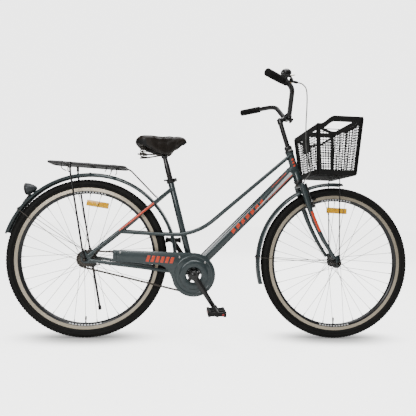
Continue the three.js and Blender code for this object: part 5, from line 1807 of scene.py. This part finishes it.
skin = BVHTree.FromObject(cover, bpy.context.evaluated_depsgraph_get())
seam_lines = []
for side in SIDES.values():
    points = []
    for step in range(SEAM_STEPS + 1):
        t = 0.05 + 0.9 * step / SEAM_STEPS
        half = eased(HALF_WIDTH, t)
        top = eased(TOP_HEIGHT, t)
        probe = at(SADDLE_BACK + (SADDLE_NOSE - SADDLE_BACK) * t, side * half * 1.3, top - 17)
        hit, normal, _, _ = skin.ray_cast(probe, Vector((0, -side, 0)))
        if hit:
            points.append(hit + normal * 0.0001)
    seam_lines.append(tube(points, 0.8, 8))
done(merged(*seam_lines), "saddle_seam", "seat", leather)

base = saddle_form(rows=30, columns=40, swell=4.5)
moved(base, Matrix.Translation((0, 0, -0.0042)))
done(base, "saddle_base", "seat", black_plastic, angle=60)

# %% [markdown]
# Two steel rails run under the saddle from its nose to its back, through a clamp on the seat post. At
# the back they meet two short coil springs that carry the rider's weight.

# %% Saddle rails, springs and clamp
clamp_centre = seat_line(POST_TOP + 9)
clamp_z = clamp_centre.z / MM
pieces, springs = [], []
for side in SIDES.values():
    rail = bent([
        at(390, side * 5, 874), at(374, side * 12, 864), at(352, side * 17, clamp_z + 9),
        at(300, side * 21, clamp_z + 4), at(238, side * 50, clamp_z - 4), at(212, side * 58, clamp_z - 4),
    ], 22)
    pieces.append(tube(rail, 3.5, 14))
    spring_low, spring_high = at(234, side * 54, 829), at(232, side * 56, 868)
    coil = []
    turns = 4.5
    for step in range(100):
        t = step / 99
        angle = 2 * math.pi * turns * t
        radius = 11.5 - 2 * abs(t - 0.5)
        coil.append(spring_low.lerp(spring_high,
            t) + Vector((math.cos(angle), math.sin(angle), 0)) * radius * MM)
    springs.append(tube(coil, 1.9, 10))
    for place in (spring_low, spring_high):
        cup = turned([(0, -2), (13, -2), (14, -1), (14, 2), (11, 2.6), (0, 2.6)], 28)
        springs.append(on_line(cup, place, Z))
brace = tube([at(222, -60, clamp_z - 4), at(222, 60, clamp_z - 4)], 3.0, 14)
done(merged(*pieces, brace), "saddle_rails_pair", "seat", dark_steel, ["saddle_rails"])
done(merged(*springs), "saddle_springs", "seat", dark_steel)
drum = moved(turned([(0, -25), (11.6, -25), (12.6, -24), (12.6, -15), (10.6, -13), (10.6, 13), (12.6, 15),
    (12.6, 24),
                     (11.6, 25), (0, 25)], 36),
                     Matrix.Translation(Vector((clamp_centre.x, 0, clamp_centre.z + 0.004))))
side_nuts = []
for side in SIDES.values():
    side_nuts.append(moved(hexagon(13, side * 25, side * 32), Matrix.Translation(
        Vector((clamp_centre.x, 0, clamp_centre.z + 0.004)))))
socket = on_line(turned([(11.2, -7.6), (14, -7.6), (15, -6), (15, 8), (13, 13), (11.2, 13)], 36, closed=True),
                 clamp_centre, SEAT_AXIS)
done(merged(drum, socket, *side_nuts), "saddle_clamp", "seat", black_enamel)
print("seat done")

# %% [markdown]
# ## Fork
# The blades are round tube, thick at the crown and slim at the axle, and curve forward at the bottom.
# The crown is a short cross tube, and the brake's two posts stand on the blades' front.

# %% Fork
CROWN_HEIGHT = 392
BLADE_HALF = 41
BOSS_HEIGHT = 290


def blade_line(side, steps=36):
    points, widths = [steer(CROWN_HEIGHT + 6, 0, side * BLADE_HALF)], [1.0]
    low = 28
    for step in range(steps + 1):
        height = 372 - (372 - low) * step / steps
        drop = max(0, (300 - height) / 300)
        y = side * (BLADE_HALF + 11.6 * (1 - height / CROWN_HEIGHT))
        points.append(steer(height, FORK_OFFSET * drop * drop, y))
        widths.append(1.0 - 0.42 * (step / steps))
    return points, widths


pieces = []
for side in SIDES.values():
    points, widths = blade_line(side)
    pieces.append(tube(points, 1, 28, widths, section=(12.5, 13.5)))
    tip = bent([Vector((x, 0, z)) for x, z in (
        (-12, 0), (-9, -9), (0, -13), (9, -9), (13, 0), (9, 12), (5, 42), (-14, 36), (-12, 0))], 0.01, 1)
    outline = [(1145 + p.x, 355 + p.z) for p in tip[:-1]]
    ends = sorted((side * 50.3, side * 55))
    pieces.append(plate([outline, arc((1145, 355), 5.2, 0, 340, 17)], *ends, edge=0.6))
    boss = on_line(turned([(0, -6), (6, -6), (6, 26.5), (5.2, 27), (0, 27)], 28),
        steer(BOSS_HEIGHT, 0, side * 41),
                   STEER_AHEAD)
    pieces.append(boss)
    pieces.append(weld_bead(steer(CROWN_HEIGHT - 12, 0, side * BLADE_HALF), STEER_UP, 12.4, 1.2))
shoulder = []
for step in range(21):
    t = -1 + 2 * step / 20
    shoulder.append(steer(CROWN_HEIGHT + 4 * (1 - t * t), 0, t * (BLADE_HALF + 9)))
pieces.append(tube(shoulder, 13, 28, widths=[0.55, 0.8, 0.93] + [1.0] * 15 + [0.93, 0.8, 0.55]))
done(merged(*pieces), "fork_blades", "steering", enamel, ["fork"])
steerer = steering_turned([(0, 0), (12.6, 0), (12.6, 178), (0, 178)], CROWN_HEIGHT)
race = steering_turned([(12.7, 0), (16.2, 0), (17, 2), (17, 6), (15, 9.6), (12.7, 9.6)], HEAD_LOW - 29,
                       closed=True)
done(merged(steerer, race), "fork_steerer", "steering", dark_steel)
locknut = on_line(merged(
    hexagon(32, 3, 14), turned([(0, 0), (16.5, 0), (17.4, 1), (17.4, 2.4), (16.5, 3), (0, 3)], 40),
), steer(HEAD_HIGH + 12.6), STEER_UP)
top_ring = steering_turned([(11.4, 0), (15, 0), (15.6, 1), (14.6, 4), (11.4, 5)], HEAD_HIGH + 27, closed=True)
done(merged(locknut, top_ring), "headset_locknut", "steering", black_enamel)


def blade_film(side, low, high, start, end):
    """Film on the outer face of a blade, between two heights and two angles round it."""
    bpy.ops.object.select_all(action="DESELECT")
    bpy.ops.mesh.primitive_grid_add(x_subdivisions=26, y_subdivisions=8, size=1)
    piece = bpy.context.object
    for vertex in piece.data.vertices:
        t, share = vertex.co.x + 0.5, vertex.co.y + 0.5
        height = low + (high - low) * t
        drop = max(0, (300 - height) / 300)
        width = 1.0 - 0.42 * ((372 - height) / 344)
        y = side * (BLADE_HALF + 11.6 * (1 - height / CROWN_HEIGHT))
        angle = math.radians(start(t) + (end(t) - start(t)) * share)
        out_sideways = Y * side * math.cos(angle) * (12.5 * width + 0.3)
        out_forwards = STEER_AHEAD * math.sin(angle) * (13.5 * width + 0.3)
        out = out_sideways + out_forwards
        vertex.co = steer(height, FORK_OFFSET * drop * drop, y) + out * MM
    welded(piece)
    face = piece.data.polygons[100]
    if face.normal.y * side < 0:
        piece.data.flip_normals()
    return modified(piece, "SOLIDIFY", thickness=0.0002, offset=0)


decals = []
for side in SIDES.values():
    decals.append(blade_film(side, 168, 268, lambda t: -28 + 8 * t, lambda t: 44 - 6 * t))
done(merged(*decals), "fork_film", "steering", orange_film)
head_marks = []
for height in (520, 505, 490):
    stripe = film(steer(height), steer(height + 9), (18.2, 18.2), lambda t: -22 + 6 * t, lambda t: 6 + 6 * t,
                  rows=3, columns=8)
    head_marks.append(stripe)
done(both_sides(merged(*head_marks)), "head_tube_stripes", "frame", orange_film)

# %% [markdown]
# ## Stem and handlebar
# The quill is a bright black tube with a domed cap round its expander bolt. A welded barrel holds the
# handlebar, pinched by one bolt below. The bar itself is one bent tube.

# %% Stem
BAR_X, BAR_Z = 903, 1038
QUILL_TOP = 727
bar_centre = at(BAR_X, 0, BAR_Z)
quill = steering_turned([(0, 0), (11.1, 0), (11.1, QUILL_TOP - 472), (0, QUILL_TOP - 472)], 470)
cap = steering_turned([(0, 0), (12.4, 0), (13, 0.8), (13, 22), (12, 24.6), (9, 26), (7, 26), (6.4, 24),
    (0, 24)],
                      QUILL_TOP - 24)
socket_bolt = steering_turned([(2.6, 0), (5, 0), (5.2, 0.6), (5.2, 5.4), (4.6, 6), (2.9, 6), (2.6, 3)],
                              QUILL_TOP - 0.4, 24, closed=True)
neck = tube([steer(QUILL_TOP - 9), steer(QUILL_TOP - 9).lerp(bar_centre, 0.5), bar_centre], 1, 24,
            widths=[1.0, 0.96, 1.05], section=(11.5, 12))
barrel = moved(turned(
    [(11.7, -20), (16.4, -20), (17.5, -19), (17.5, 19), (16.4, 20), (11.7, 20)], 48, closed=True),
    Matrix.Translation(bar_centre))
ears = []
for lift in (-1, 1):
    ear = block((14, -9, -3 + lift * 4.4), (31, 9, 3 + lift * 4.4), 2.4, 3)
    ears.append(moved(ear, Matrix.Translation(bar_centre) @ Matrix.Rotation(math.radians(35), 4, "Y")))
pinch = merged(
    turned([(0, -13), (4.6, -13), (5, -12), (5, -8), (3, -8), (3, 12), (0, 12)], 20), hexagon(9, 7.4, 12.5),
)
moved(pinch, Matrix.Translation(bar_centre) @ Matrix.Rotation(math.radians(35), 4, "Y")
      @ Matrix.Translation((0.0245, 0, 0)) @ Matrix.Rotation(math.pi / 2, 4, "X"))
done(merged(quill, cap, neck, barrel, *ears), "quill_stem", "steering", black_enamel, ["stem"])
done(merged(socket_bolt, pinch), "stem_bolts", "steering", dark_steel)

# %% Handlebar and grips
BAR_RADIUS = 11.1
GRIP_TIP, GRIP_INNER = Vector((735, 295, 1133)), Vector((860, 174, 1135))
GRIP_WAY = (GRIP_INNER - GRIP_TIP).normalized()
GRIP_OUT = Vector((0.6955, 0.7185, 0))


def on_grip(side, inward, ahead=0, up=0):
    """A place by its distance in from the bar's tip, ahead of the grip, and up."""
    point = GRIP_TIP + GRIP_WAY * inward + GRIP_OUT * ahead + Z * up
    return at(point.x, side * point.y, point.z)


corners = []
for side in (-1, 1):
    half_bar = [on_grip(side, 0), on_grip(side, 174), at(884, side * 138, 1124), at(BAR_X, side * 34, 1040),
                at(BAR_X, side * 20, BAR_Z)]
    corners += half_bar if side < 0 else half_bar[::-1]
done(tube(bent(corners, 27, 10), BAR_RADIUS, 28), "handlebar_tube", "steering", black_enamel,
     ["handlebar"])

for name, side in SIDES.items():
    profile = [(11.4, 0.4), (11.4, 112), (14.6, 112), (15.6, 111), (15.8, 106)]
    profile_rings = []
    RIBS = 20
    for rib in range(RIBS):
        y = 103 - rib * 4.6
        profile_rings += [(16.0, y + 1.6), (16.0, y - 0.6), (15.0, y - 1.2), (15.0, y - 2.4)]
    profile = profile + profile_rings + [(15.8, 6), (16, 2), (16, -1.5), (14, -3.6), (10, -4), (0, -4),
        (0, 0.4)]
    grip = on_line(turned(profile, 48), on_grip(side, 0), on_grip(side, 50) - on_grip(side, 0))
    done(grip, "grip_sleeve_" + name, "steering", grip_rubber, ["grip_" + name], angle=25)

# %% [markdown]
# ## Brake
# The lever is a curved black blade on a pin. Its cable comes out of a barrel adjuster, falls in
# front of the head tube and turns into the brake through a bent metal tube, the noodle. The two arms
# stand on the fork's posts, with a long rubber block each.

# %% Brake lever and bracket
BRAKE_AT = 124
LEVER_PIVOT = on_grip(-1, BRAKE_AT + 4, 34, -8)
clamp_way = on_grip(-1, BRAKE_AT + 10) - on_grip(-1, BRAKE_AT)
clamp = on_line(turned([(11.6, -7), (14.2, -7), (15, -6.2), (15, 6.2), (14.2, 7), (11.6, 7)], 40,
    closed=True),
                on_grip(-1, BRAKE_AT), clamp_way)
arm_start, arm_end = on_grip(-1, BRAKE_AT + 2, 12, -7), on_grip(-1, BRAKE_AT + 4, 40, -7.6)
arm = tube([arm_start, arm_start.lerp(arm_end, 0.5), arm_end], 1, 20, widths=[1.25, 1.05, 1.0],
    section=(7.4, 4.4))
boss = on_line(turned([(0, -4.4), (8, -4.4), (9, -3.4), (9, 3.2), (8, 4.1), (0, 4.1)], 32), LEVER_PIVOT, Z)
pin = on_line(turned([(0, -6), (4, -6), (4.4, -5.4), (4.4, -4), (2.5, -4), (2.5, 13), (3.8, 13.2),
    (3.8, 14.4),
                      (0, 14.8)], 20), LEVER_PIVOT, Z)
barrel_start, barrel_end = on_grip(-1, BRAKE_AT + 5, 36, -8.6), on_grip(-1, BRAKE_AT + 31, 49, -9.5)
barrel_way = barrel_end - barrel_start
barrel_length = barrel_way.length / MM
profile = [(0, 0), (5.4, 0), (5.4, barrel_length - 17), (4, barrel_length - 16)]
for rib in range(5):
    y = barrel_length - 15 + rib * 2.4
    profile += [(5.6, y), (5.6, y + 1.4), (4.9, y + 1.8)]
profile += [(4.2, barrel_length - 1.4), (3.4, barrel_length), (0, barrel_length)]
adjuster = on_line(turned(profile, 24), barrel_start, barrel_way)
done(merged(clamp, arm, boss, adjuster), "brake_lever_bracket", "steering", black_plastic,
     ["brake_bracket"])
done(pin, "brake_lever_pin", "steering", brass)

blade_corners = [
    on_grip(-1, BRAKE_AT + 4, 34, 0.5), on_grip(-1, 100, 50, -1), on_grip(-1, 44, 45, -5),
        on_grip(-1, 34, 48, -5.4),
]
blade_route = bent(blade_corners, 26, 8)
count = len(blade_route) - 1
blade_widths = [1.25 - 0.45 * math.sin(math.pi * 0.5 * k / count) + (0.22 if k == count else 0)
                for k in range(count + 1)]
blade = tube(blade_route, 1, 20, blade_widths, section=(2.9, 5.6))
ball = on_line(turned([(0, -5.6), (3.2, -4.8), (5.2, -2.4), (5.8, 0), (5.2, 2.4), (3.2, 4.8), (0, 5.6)], 24),
               on_grip(-1, 36, 47.4, -5.3), Z)
lever_hub = on_line(turned([(3.2, 4.4), (7.4, 4.4), (8, 5), (8, 11.4), (7.4, 12), (3.2, 12)], 32,
    closed=True),
                    LEVER_PIVOT, Z)
done(merged(blade, ball, lever_hub), "brake_lever_blade", "hand_lever", black_enamel,
     ["brake_lever"])

# %% Brake arms
for name, side in SIDES.items():
    body = name + "_brake_arm"
    route = bent([
        steer(BOSS_HEIGHT + 4, 20.5, side * 41), steer(BOSS_HEIGHT + 40, 20.5, side * 38.5),
        steer(BOSS_HEIGHT + 110, 20.5, side * 32),
    ], 24, 8)
    count = len(route) - 1
    arm = tube(route, 1, 20, [1.1 - 0.3 * k / count for k in range(count + 1)], section=(4.2, 6))
    boss_place = steer(BOSS_HEIGHT, 15, side * 41)
    pivot = on_line(turned([(6.5, 0), (9.4, 0), (10, 0.8), (10, 10.2), (9.4, 11), (6.5, 11)], 36,
        closed=True),
                    boss_place, STEER_AHEAD)
    pad_centre = steer(BOSS_HEIGHT + 24, 20.5, side * 20)
    radial = (pad_centre - FRONT)
    radial.y = 0
    along = radial.normalized().cross(Y)
    holder = tube([pad_centre + along * k * MM + Y * side * 1.4 * MM for k in (-30, -27, 0, 27, 30)], 1, 20,
                  widths=[0.6, 0.95, 1, 0.95, 0.6], section=(2.2, 5.4))
    post_pin = tube([pad_centre, pad_centre + Y * side * 27 * MM], 3, 16)
    nut = on_line(hexagon(10, 0, 5), pad_centre + Y * side * 23.5 * MM, Y * side)
    washers = on_line(turned([(3, 14), (7, 14), (7.6, 16), (7, 18), (3, 18)], 24, closed=True), pad_centre,
        Y * side)
    done(merged(arm, pivot), "brake_arm_blade_" + name, body, black_enamel,
        ["brake_arm_" + name])
    done(merged(post_pin, nut, washers), "brake_arm_hardware_" + name, body, zinc)
    block_rubber = tube([pad_centre + along * k * MM - Y * side * 2.2 * MM for k in (-31, -30, 0, 30, 31)],
        1, 16,
                        widths=[0.7, 1, 1, 1, 0.7], section=(2.6, 5.6))
    done(merged(holder, block_rubber), "brake_block_" + name, body, grip_rubber)
    screw = on_line(merged(turned([(0, 27), (5.6, 27), (6, 27.6), (6, 29), (0, 29)], 24),
        hexagon(8, 28.6, 32)),
                    steer(BOSS_HEIGHT, 0, side * 41), STEER_AHEAD)
    done(screw, "brake_post_screw_" + name, "steering", zinc)

# %% [markdown]
# The cable's sleeve is held at both ends, at the lever's adjuster and in the noodle, and hangs between
# them in one easy curve in front of the head tube. A rubber bellows joins the noodle to the far arm.

# %% Brake cable and noodle
noodle = BOSS_HEIGHT + 126
cable_corners = [
    on_grip(-1, BRAKE_AT + 33.5, 50.2, -9.5), at(903, -213, 1124), at(923, -203, 1110), at(933, -190, 1082),
    at(940, -170, 1036), at(948, -140, 963), at(966, -95, 880), at(990, -60, 820), at(1004, -46, 775),
    steer(noodle + 4, 29, -34),
]
done(tube(flowing(cable_corners, 8), 2.5, 12), "brake_cable_sleeve", "steering", cable_sleeve,
     ["brake_cable"])
noodle_route = flowing([steer(noodle + 5, 29, -36), steer(noodle + 3, 29.4, -20), steer(noodle - 2, 30, -4),
                        steer(noodle - 8, 29.6, 8)], 8)
ferrule = tube(noodle_route[:6], 3.4, 16)
bellows_profile = [(0, 0)]
for fold in range(6):
    bellows_profile += [(2.6, fold * 3.2), (3.8, fold * 3.2 + 1.6)]
bellows_profile += [(2.6, 19.4), (0, 19.4)]
bellows = on_line(turned(bellows_profile, 20), steer(noodle - 8, 29.6, 6),
    steer(noodle - 14, 28.5, 26) - steer(
    noodle - 8, 29.6, 6))
done(merged(tube(noodle_route, 2.4, 14), ferrule), "brake_noodle", "steering", zinc)
done(bellows, "brake_bellows", "steering", grip_rubber)

# %% [markdown]
# ## Bell
# The bell is a black dome on a base, clamped on the bar beside the brake, with a brass thumb lever.

# %% Bell
BELL_AT = 143
bell_centre = on_grip(-1, BELL_AT, 0, 40)
bell_way = on_grip(-1, BELL_AT + 10) - on_grip(-1, BELL_AT)
clamp = on_line(turned([(11.9, -5), (13.8, -5), (14.5, -4.2), (14.5, 4.2), (13.8, 5), (11.9, 5)], 40,
    closed=True),
                on_grip(-1, BELL_AT), bell_way)
base = on_line(turned([(0, -27), (8, -27), (10, -14), (16, -9), (19, -8), (20, -7), (20, -4), (19, -3),
    (0, -3)], 40),
               bell_centre, Z)
dome = on_line(turned(
    [(20.6, -3.6), (22.6, -3.6), (23, -3), (23, 0.6), (22, 4.6), (19.4, 8.8), (15.6, 12.4), (11, 14.8),
    (6, 16.2),
     (0, 16.8), (0, 14.6), (6, 14.2), (10.6, 12.8), (14.8, 10.4), (18.4, 7), (20.2, 3.4), (20.8, 0)], 48,
    closed=True), bell_centre, Z)
cap_nut = on_line(turned([(0, 13), (4, 13), (4, 17), (3, 17.8), (0, 18)], 24), bell_centre, Z)
done(merged(clamp, base), "bell_base", "steering", black_plastic, ["bell"])
done(dome, "bell_dome", "steering", black_enamel)
done(cap_nut, "bell_cap_nut", "steering", brass)
thumb = tube([bell_centre + Vector((6, 0, -10.8)) * MM, bell_centre + Vector((22, 0, -10.2)) * MM,
              bell_centre + Vector((33, 0, -8.2)) * MM, bell_centre + Vector((39.4, 0, -7)) * MM], 1, 16,
             widths=[0.7, 0.9, 1.1, 0.8], section=(5, 1.6))
ring_part = on_line(turned([(5.4, -13), (6.8, -13), (6.8, -8.4), (5.4, -8.4)], 28, closed=True),
    bell_centre, Z)
done(merged(thumb, ring_part), "bell_thumb_lever", "bell_thumb", brass, ["bell_lever"])
print("front end done")

# %% [markdown]
# ## Basket
# The basket is one plastic moulding: a lattice of fine ribs between stout corner posts, with a broad
# rim and a solid foot. Each wall is a flat four-sided sheet, so a point on it is found from its share
# across and its share up, and ribs are bars between two such points.

# %% Basket walls
REAR_TOP, FRONT_TOP, REAR_LOW, FRONT_LOW = 988, 1196, 1012, 1186
HALF_TOP, HALF_LOW, FLOOR_Z, RIM_Z = 168, 128, 757, 1009
DIP_X, DIP_Z = 1068, 974


def corner(front, side, share):
    """A corner edge of the basket, side -1 or 1, from its foot at share 0 to its rim at share 1."""
    x = (FRONT_LOW + (FRONT_TOP - FRONT_LOW) * share) if front else (REAR_LOW + (REAR_TOP - REAR_LOW) * share)
    return Vector((x, side * (HALF_LOW + (HALF_TOP - HALF_LOW) * share), FLOOR_Z + (RIM_Z - FLOOR_Z) * share))


def wall_point(wall, across, up):
    """A place on a wall, across and up from 0 to 1, in millimetres, 2.5 mm in from its outer face."""
    if wall in SIDES:
        side = SIDES[wall]
        low, high = corner(False, side, up), corner(True, side, up)
        inward = Vector((0, -side * 2.6, 0))
    else:
        front = wall == "front"
        low, high = corner(front, -1, up), corner(front, 1, up)
        inward = Vector((-2.6 if front else 2.6, 0, 0))
    return low + (high - low) * across + inward


def rib(start, end, width, depth, normal):
    """A flat bar between two points, as wide as given across the wall and as deep along its normal."""
    way = end - start
    length = way.length
    along = way.normalized()
    out = (normal - along * normal.dot(along)).normalized()
    side = out.cross(along)
    piece = copied(RIB_PATTERN)
    matrix = Matrix((
        (along.x * length, side.x * width, out.x * depth, (start.x + end.x) / 2),
        (along.y * length, side.y * width, out.y * depth, (start.y + end.y) / 2),
        (along.z * length, side.z * width, out.z * depth, (start.z + end.z) / 2),
        (0, 0, 0, 1),
    ))
    piece.data.transform(matrix)
    return piece


bpy.ops.object.select_all(action="DESELECT")
bpy.ops.mesh.primitive_cube_add(size=1)
RIB_PATTERN = bpy.context.object

WALL_NORMAL = {"right": Vector((0, -1, 0)), "left": Vector((0, 1, 0)), "rear": Vector((-1, 0, 0)),
               "front": Vector((1, 0, 0))}
DIP_SHARE = (DIP_Z - FLOOR_Z) / (RIM_Z - FLOOR_Z)


def rim_share(wall, across):
    """How far up the wall its rim runs: it dips at the back."""
    if wall == "front":
        return 1.0
    if wall == "rear":
        return DIP_SHARE
    x = REAR_TOP + (FRONT_TOP - REAR_TOP) * across
    t = min(1, max(0, (x - 1004) / (DIP_X - 1004)))
    return DIP_SHARE + (1 - DIP_SHARE) * t * t * (3 - 2 * t)


def lattice_top(wall, across):
    """Where the lattice ends: at the rim, or on the side walls below the long hand opening."""
    if wall not in SIDES:
        return rim_share(wall, across) - 0.07
    return eased([(0.04, 0.79), (0.36, 0.72), (0.62, 0.75), (0.97, 0.89)], across)


pieces = []
WALL_BARS = {"right": 15, "left": 15, "front": 14, "rear": 14}
ROW_SHARE = 0.046
for wall, bars in WALL_BARS.items():
    normal = WALL_NORMAL[wall]
    for index in range(bars + 1):
        across = index / bars
        stout = index % 5 == 0
        top = lattice_top(wall, across)
        width = 5.2 if stout else 2.8
        pieces.append(rib(wall_point(wall, across, 0.07), wall_point(wall, across, top), width,
                          2.6 if stout else 1.8, normal))
    row = 0.09
    while row < 0.97:
        # A row runs only where the lattice is taller than the row.
        inside = [k / 60 for k in range(61) if lattice_top(wall, k / 60) >= row]
        if len(inside) > 2:
            pieces.append(rib(wall_point(wall, inside[0], row), wall_point(wall, inside[-1], row), 3.2, 1.8,
                normal))
        row += ROW_SHARE
    pieces.append(rib(wall_point(wall, 0, 0.04), wall_point(wall, 1, 0.04), 21, 3.4, normal))

# %% [markdown]
# The rim is a broad band with a rolled top edge that follows the dip, and the band under the hand
# opening follows its own arch. Both are laid in short lengths, close enough to read as one curve.

# %% Basket rim, bands and posts
RIM_BAND = 0.085


def band(wall, top_of, height_share, depth, steps=40, start=0.0, end=1.0, lift=0.0):
    """A band along a wall whose top follows a curve, as one closed mesh swept from short lengths."""
    normal = WALL_NORMAL[wall]
    rings = []
    for step in range(steps + 1):
        across = start + (end - start) * step / steps
        top = top_of(across)
        high, low = wall_point(wall, across, top), wall_point(wall, across, top - height_share)
        out = normal * (depth / 2 + lift)
        rings.append([high + out, high - out, low - out, low + out])
    bpy.ops.object.select_all(action="DESELECT")
    bpy.ops.mesh.primitive_grid_add(x_subdivisions=steps, y_subdivisions=4, size=1)
    strip = bpy.context.object
    for vertex in strip.data.vertices:
        ring = rings[round((vertex.co.x + 0.5) * steps)]
        vertex.co = ring[round((vertex.co.y + 0.5) * 4) % 4]
    pick(strip)
    bpy.ops.object.mode_set(mode="EDIT")
    bpy.ops.mesh.select_all(action="SELECT")
    bpy.ops.mesh.remove_doubles(threshold=0.001)
    bpy.ops.mesh.select_all(action="SELECT")
    bpy.ops.mesh.fill_holes(sides=0)
    bpy.ops.object.mode_set(mode="OBJECT")
    return strip


def rolled_edge(wall, steps=40):
    normal = WALL_NORMAL[wall]
    return [wall_point(wall, k / steps, rim_share(wall, k / steps)) - normal * 0.6 for k in range(steps + 1)]


for wall in WALL_BARS:
    pieces.append(band(wall, lambda a, w=wall: rim_share(w, a) - 0.004, RIM_BAND, 4.0))
    if wall in SIDES:
        pieces.append(band(wall, lambda a, w=wall: lattice_top(w, a) + 0.02, 0.048, 3.6))
for wall in SIDES:
    for across, width in ((0.025, 18), (0.985, 13)):
        normal = WALL_NORMAL[wall]
        pieces.append(rib(wall_point(wall, across, 0.02),
            wall_point(wall, across, rim_share(wall, across) - 0.02),
                          width, 4.6, normal))
for wall in ("front", "rear"):
    normal = WALL_NORMAL[wall]
    for across in (0.0, 1.0):
        pieces.append(rib(wall_point(wall, across, 0.02),
            wall_point(wall, across, rim_share(wall, across) - 0.02),
                          12, 4.6, normal))
panel = band("rear", lambda a: 0.85, 0.40, 4.4, 10, 0.36, 0.66, 0.4)
pieces.append(panel)
floor_ribs = []
for index in range(19):
    y = -HALF_LOW + 5 + index * (2 * HALF_LOW - 10) / 18
    floor_ribs.append(rib(Vector((REAR_LOW + 3, y, 759.2)), Vector((FRONT_LOW - 3, y, 759.2)), 4.0, 3.4, Z))
for index in range(13):
    x = REAR_LOW + 5 + index * (FRONT_LOW - REAR_LOW - 10) / 12
    floor_ribs.append(rib(Vector((x, -HALF_LOW + 3, 759.0)), Vector((x, HALF_LOW - 3, 759.0)), 4.0, 3.0, Z))
basket = merged(*pieces, *floor_ribs)
bpy.data.objects.remove(RIB_PATTERN)
basket.data.transform(Matrix.Translation((REAR.x, 0, 0)) @ Matrix.Scale(MM, 4))
edges = []
for wall in WALL_BARS:
    line = [at(p.x, p.y, p.z) for p in rolled_edge(wall)]
    edges.append(tube(line, 3.2, 12))
foot_line = [at(x, y, 759.6) for x, y in ((REAR_LOW + 3, -HALF_LOW + 3), (FRONT_LOW - 3, -HALF_LOW + 3),
                                          (FRONT_LOW - 3, HALF_LOW - 3), (REAR_LOW + 3, HALF_LOW - 3))]
edges.append(tube(foot_line, 2.6, 12, closed=True))
hook_boss = on_line(turned([(0, 0), (11, 0), (12, -1), (12, -3), (8, -3.6), (8, -5), (0, -5.4)], 32),
                    at(993, 0, 930), X)
done(merged(basket, *edges, hook_boss), "basket_lattice", "steering", black_plastic,
    ["basket"],
     angle=30)

# %% Basket stay
axle_low = 50 + 5.3 + 3.3
pieces = []
for side in SIDES.values():
    eye = turned([(5, axle_low), (8.6, axle_low), (9, axle_low + 0.5), (9, axle_low + 2.5),
        (8.6, axle_low + 3),
                  (5, axle_low + 3)], 24, closed=True)
    moved(eye, Matrix.Scale(side, 4, Y))
    pieces.append(moved(eye, Matrix.Translation(FRONT)))
stay_y = axle_low + 1.5
corners = [
    at(1145, -stay_y, 362.5), at(1141, -63, 560), at(1138, -66, 752), at(1138, 66, 752), at(1141, 63, 560),
    at(1145, stay_y, 362.5),
]
pieces.append(tube(bent(corners, 24), 2.6, 14))
done(merged(*pieces), "basket_stay_wire", "steering", black_enamel, ["basket_stay"])
wing_nuts = []
for side in SIDES.values():
    stub = on_line(merged(hexagon(9, 0, 4), turned([(0, 0), (2.6, 0), (2.6, -7), (0, -7)], 16)),
                   at(1138, side * 40, 749), -Z)
    wing_nuts.append(stub)
done(merged(*wing_nuts), "basket_stay_nuts", "steering", zinc)
print("basket done")
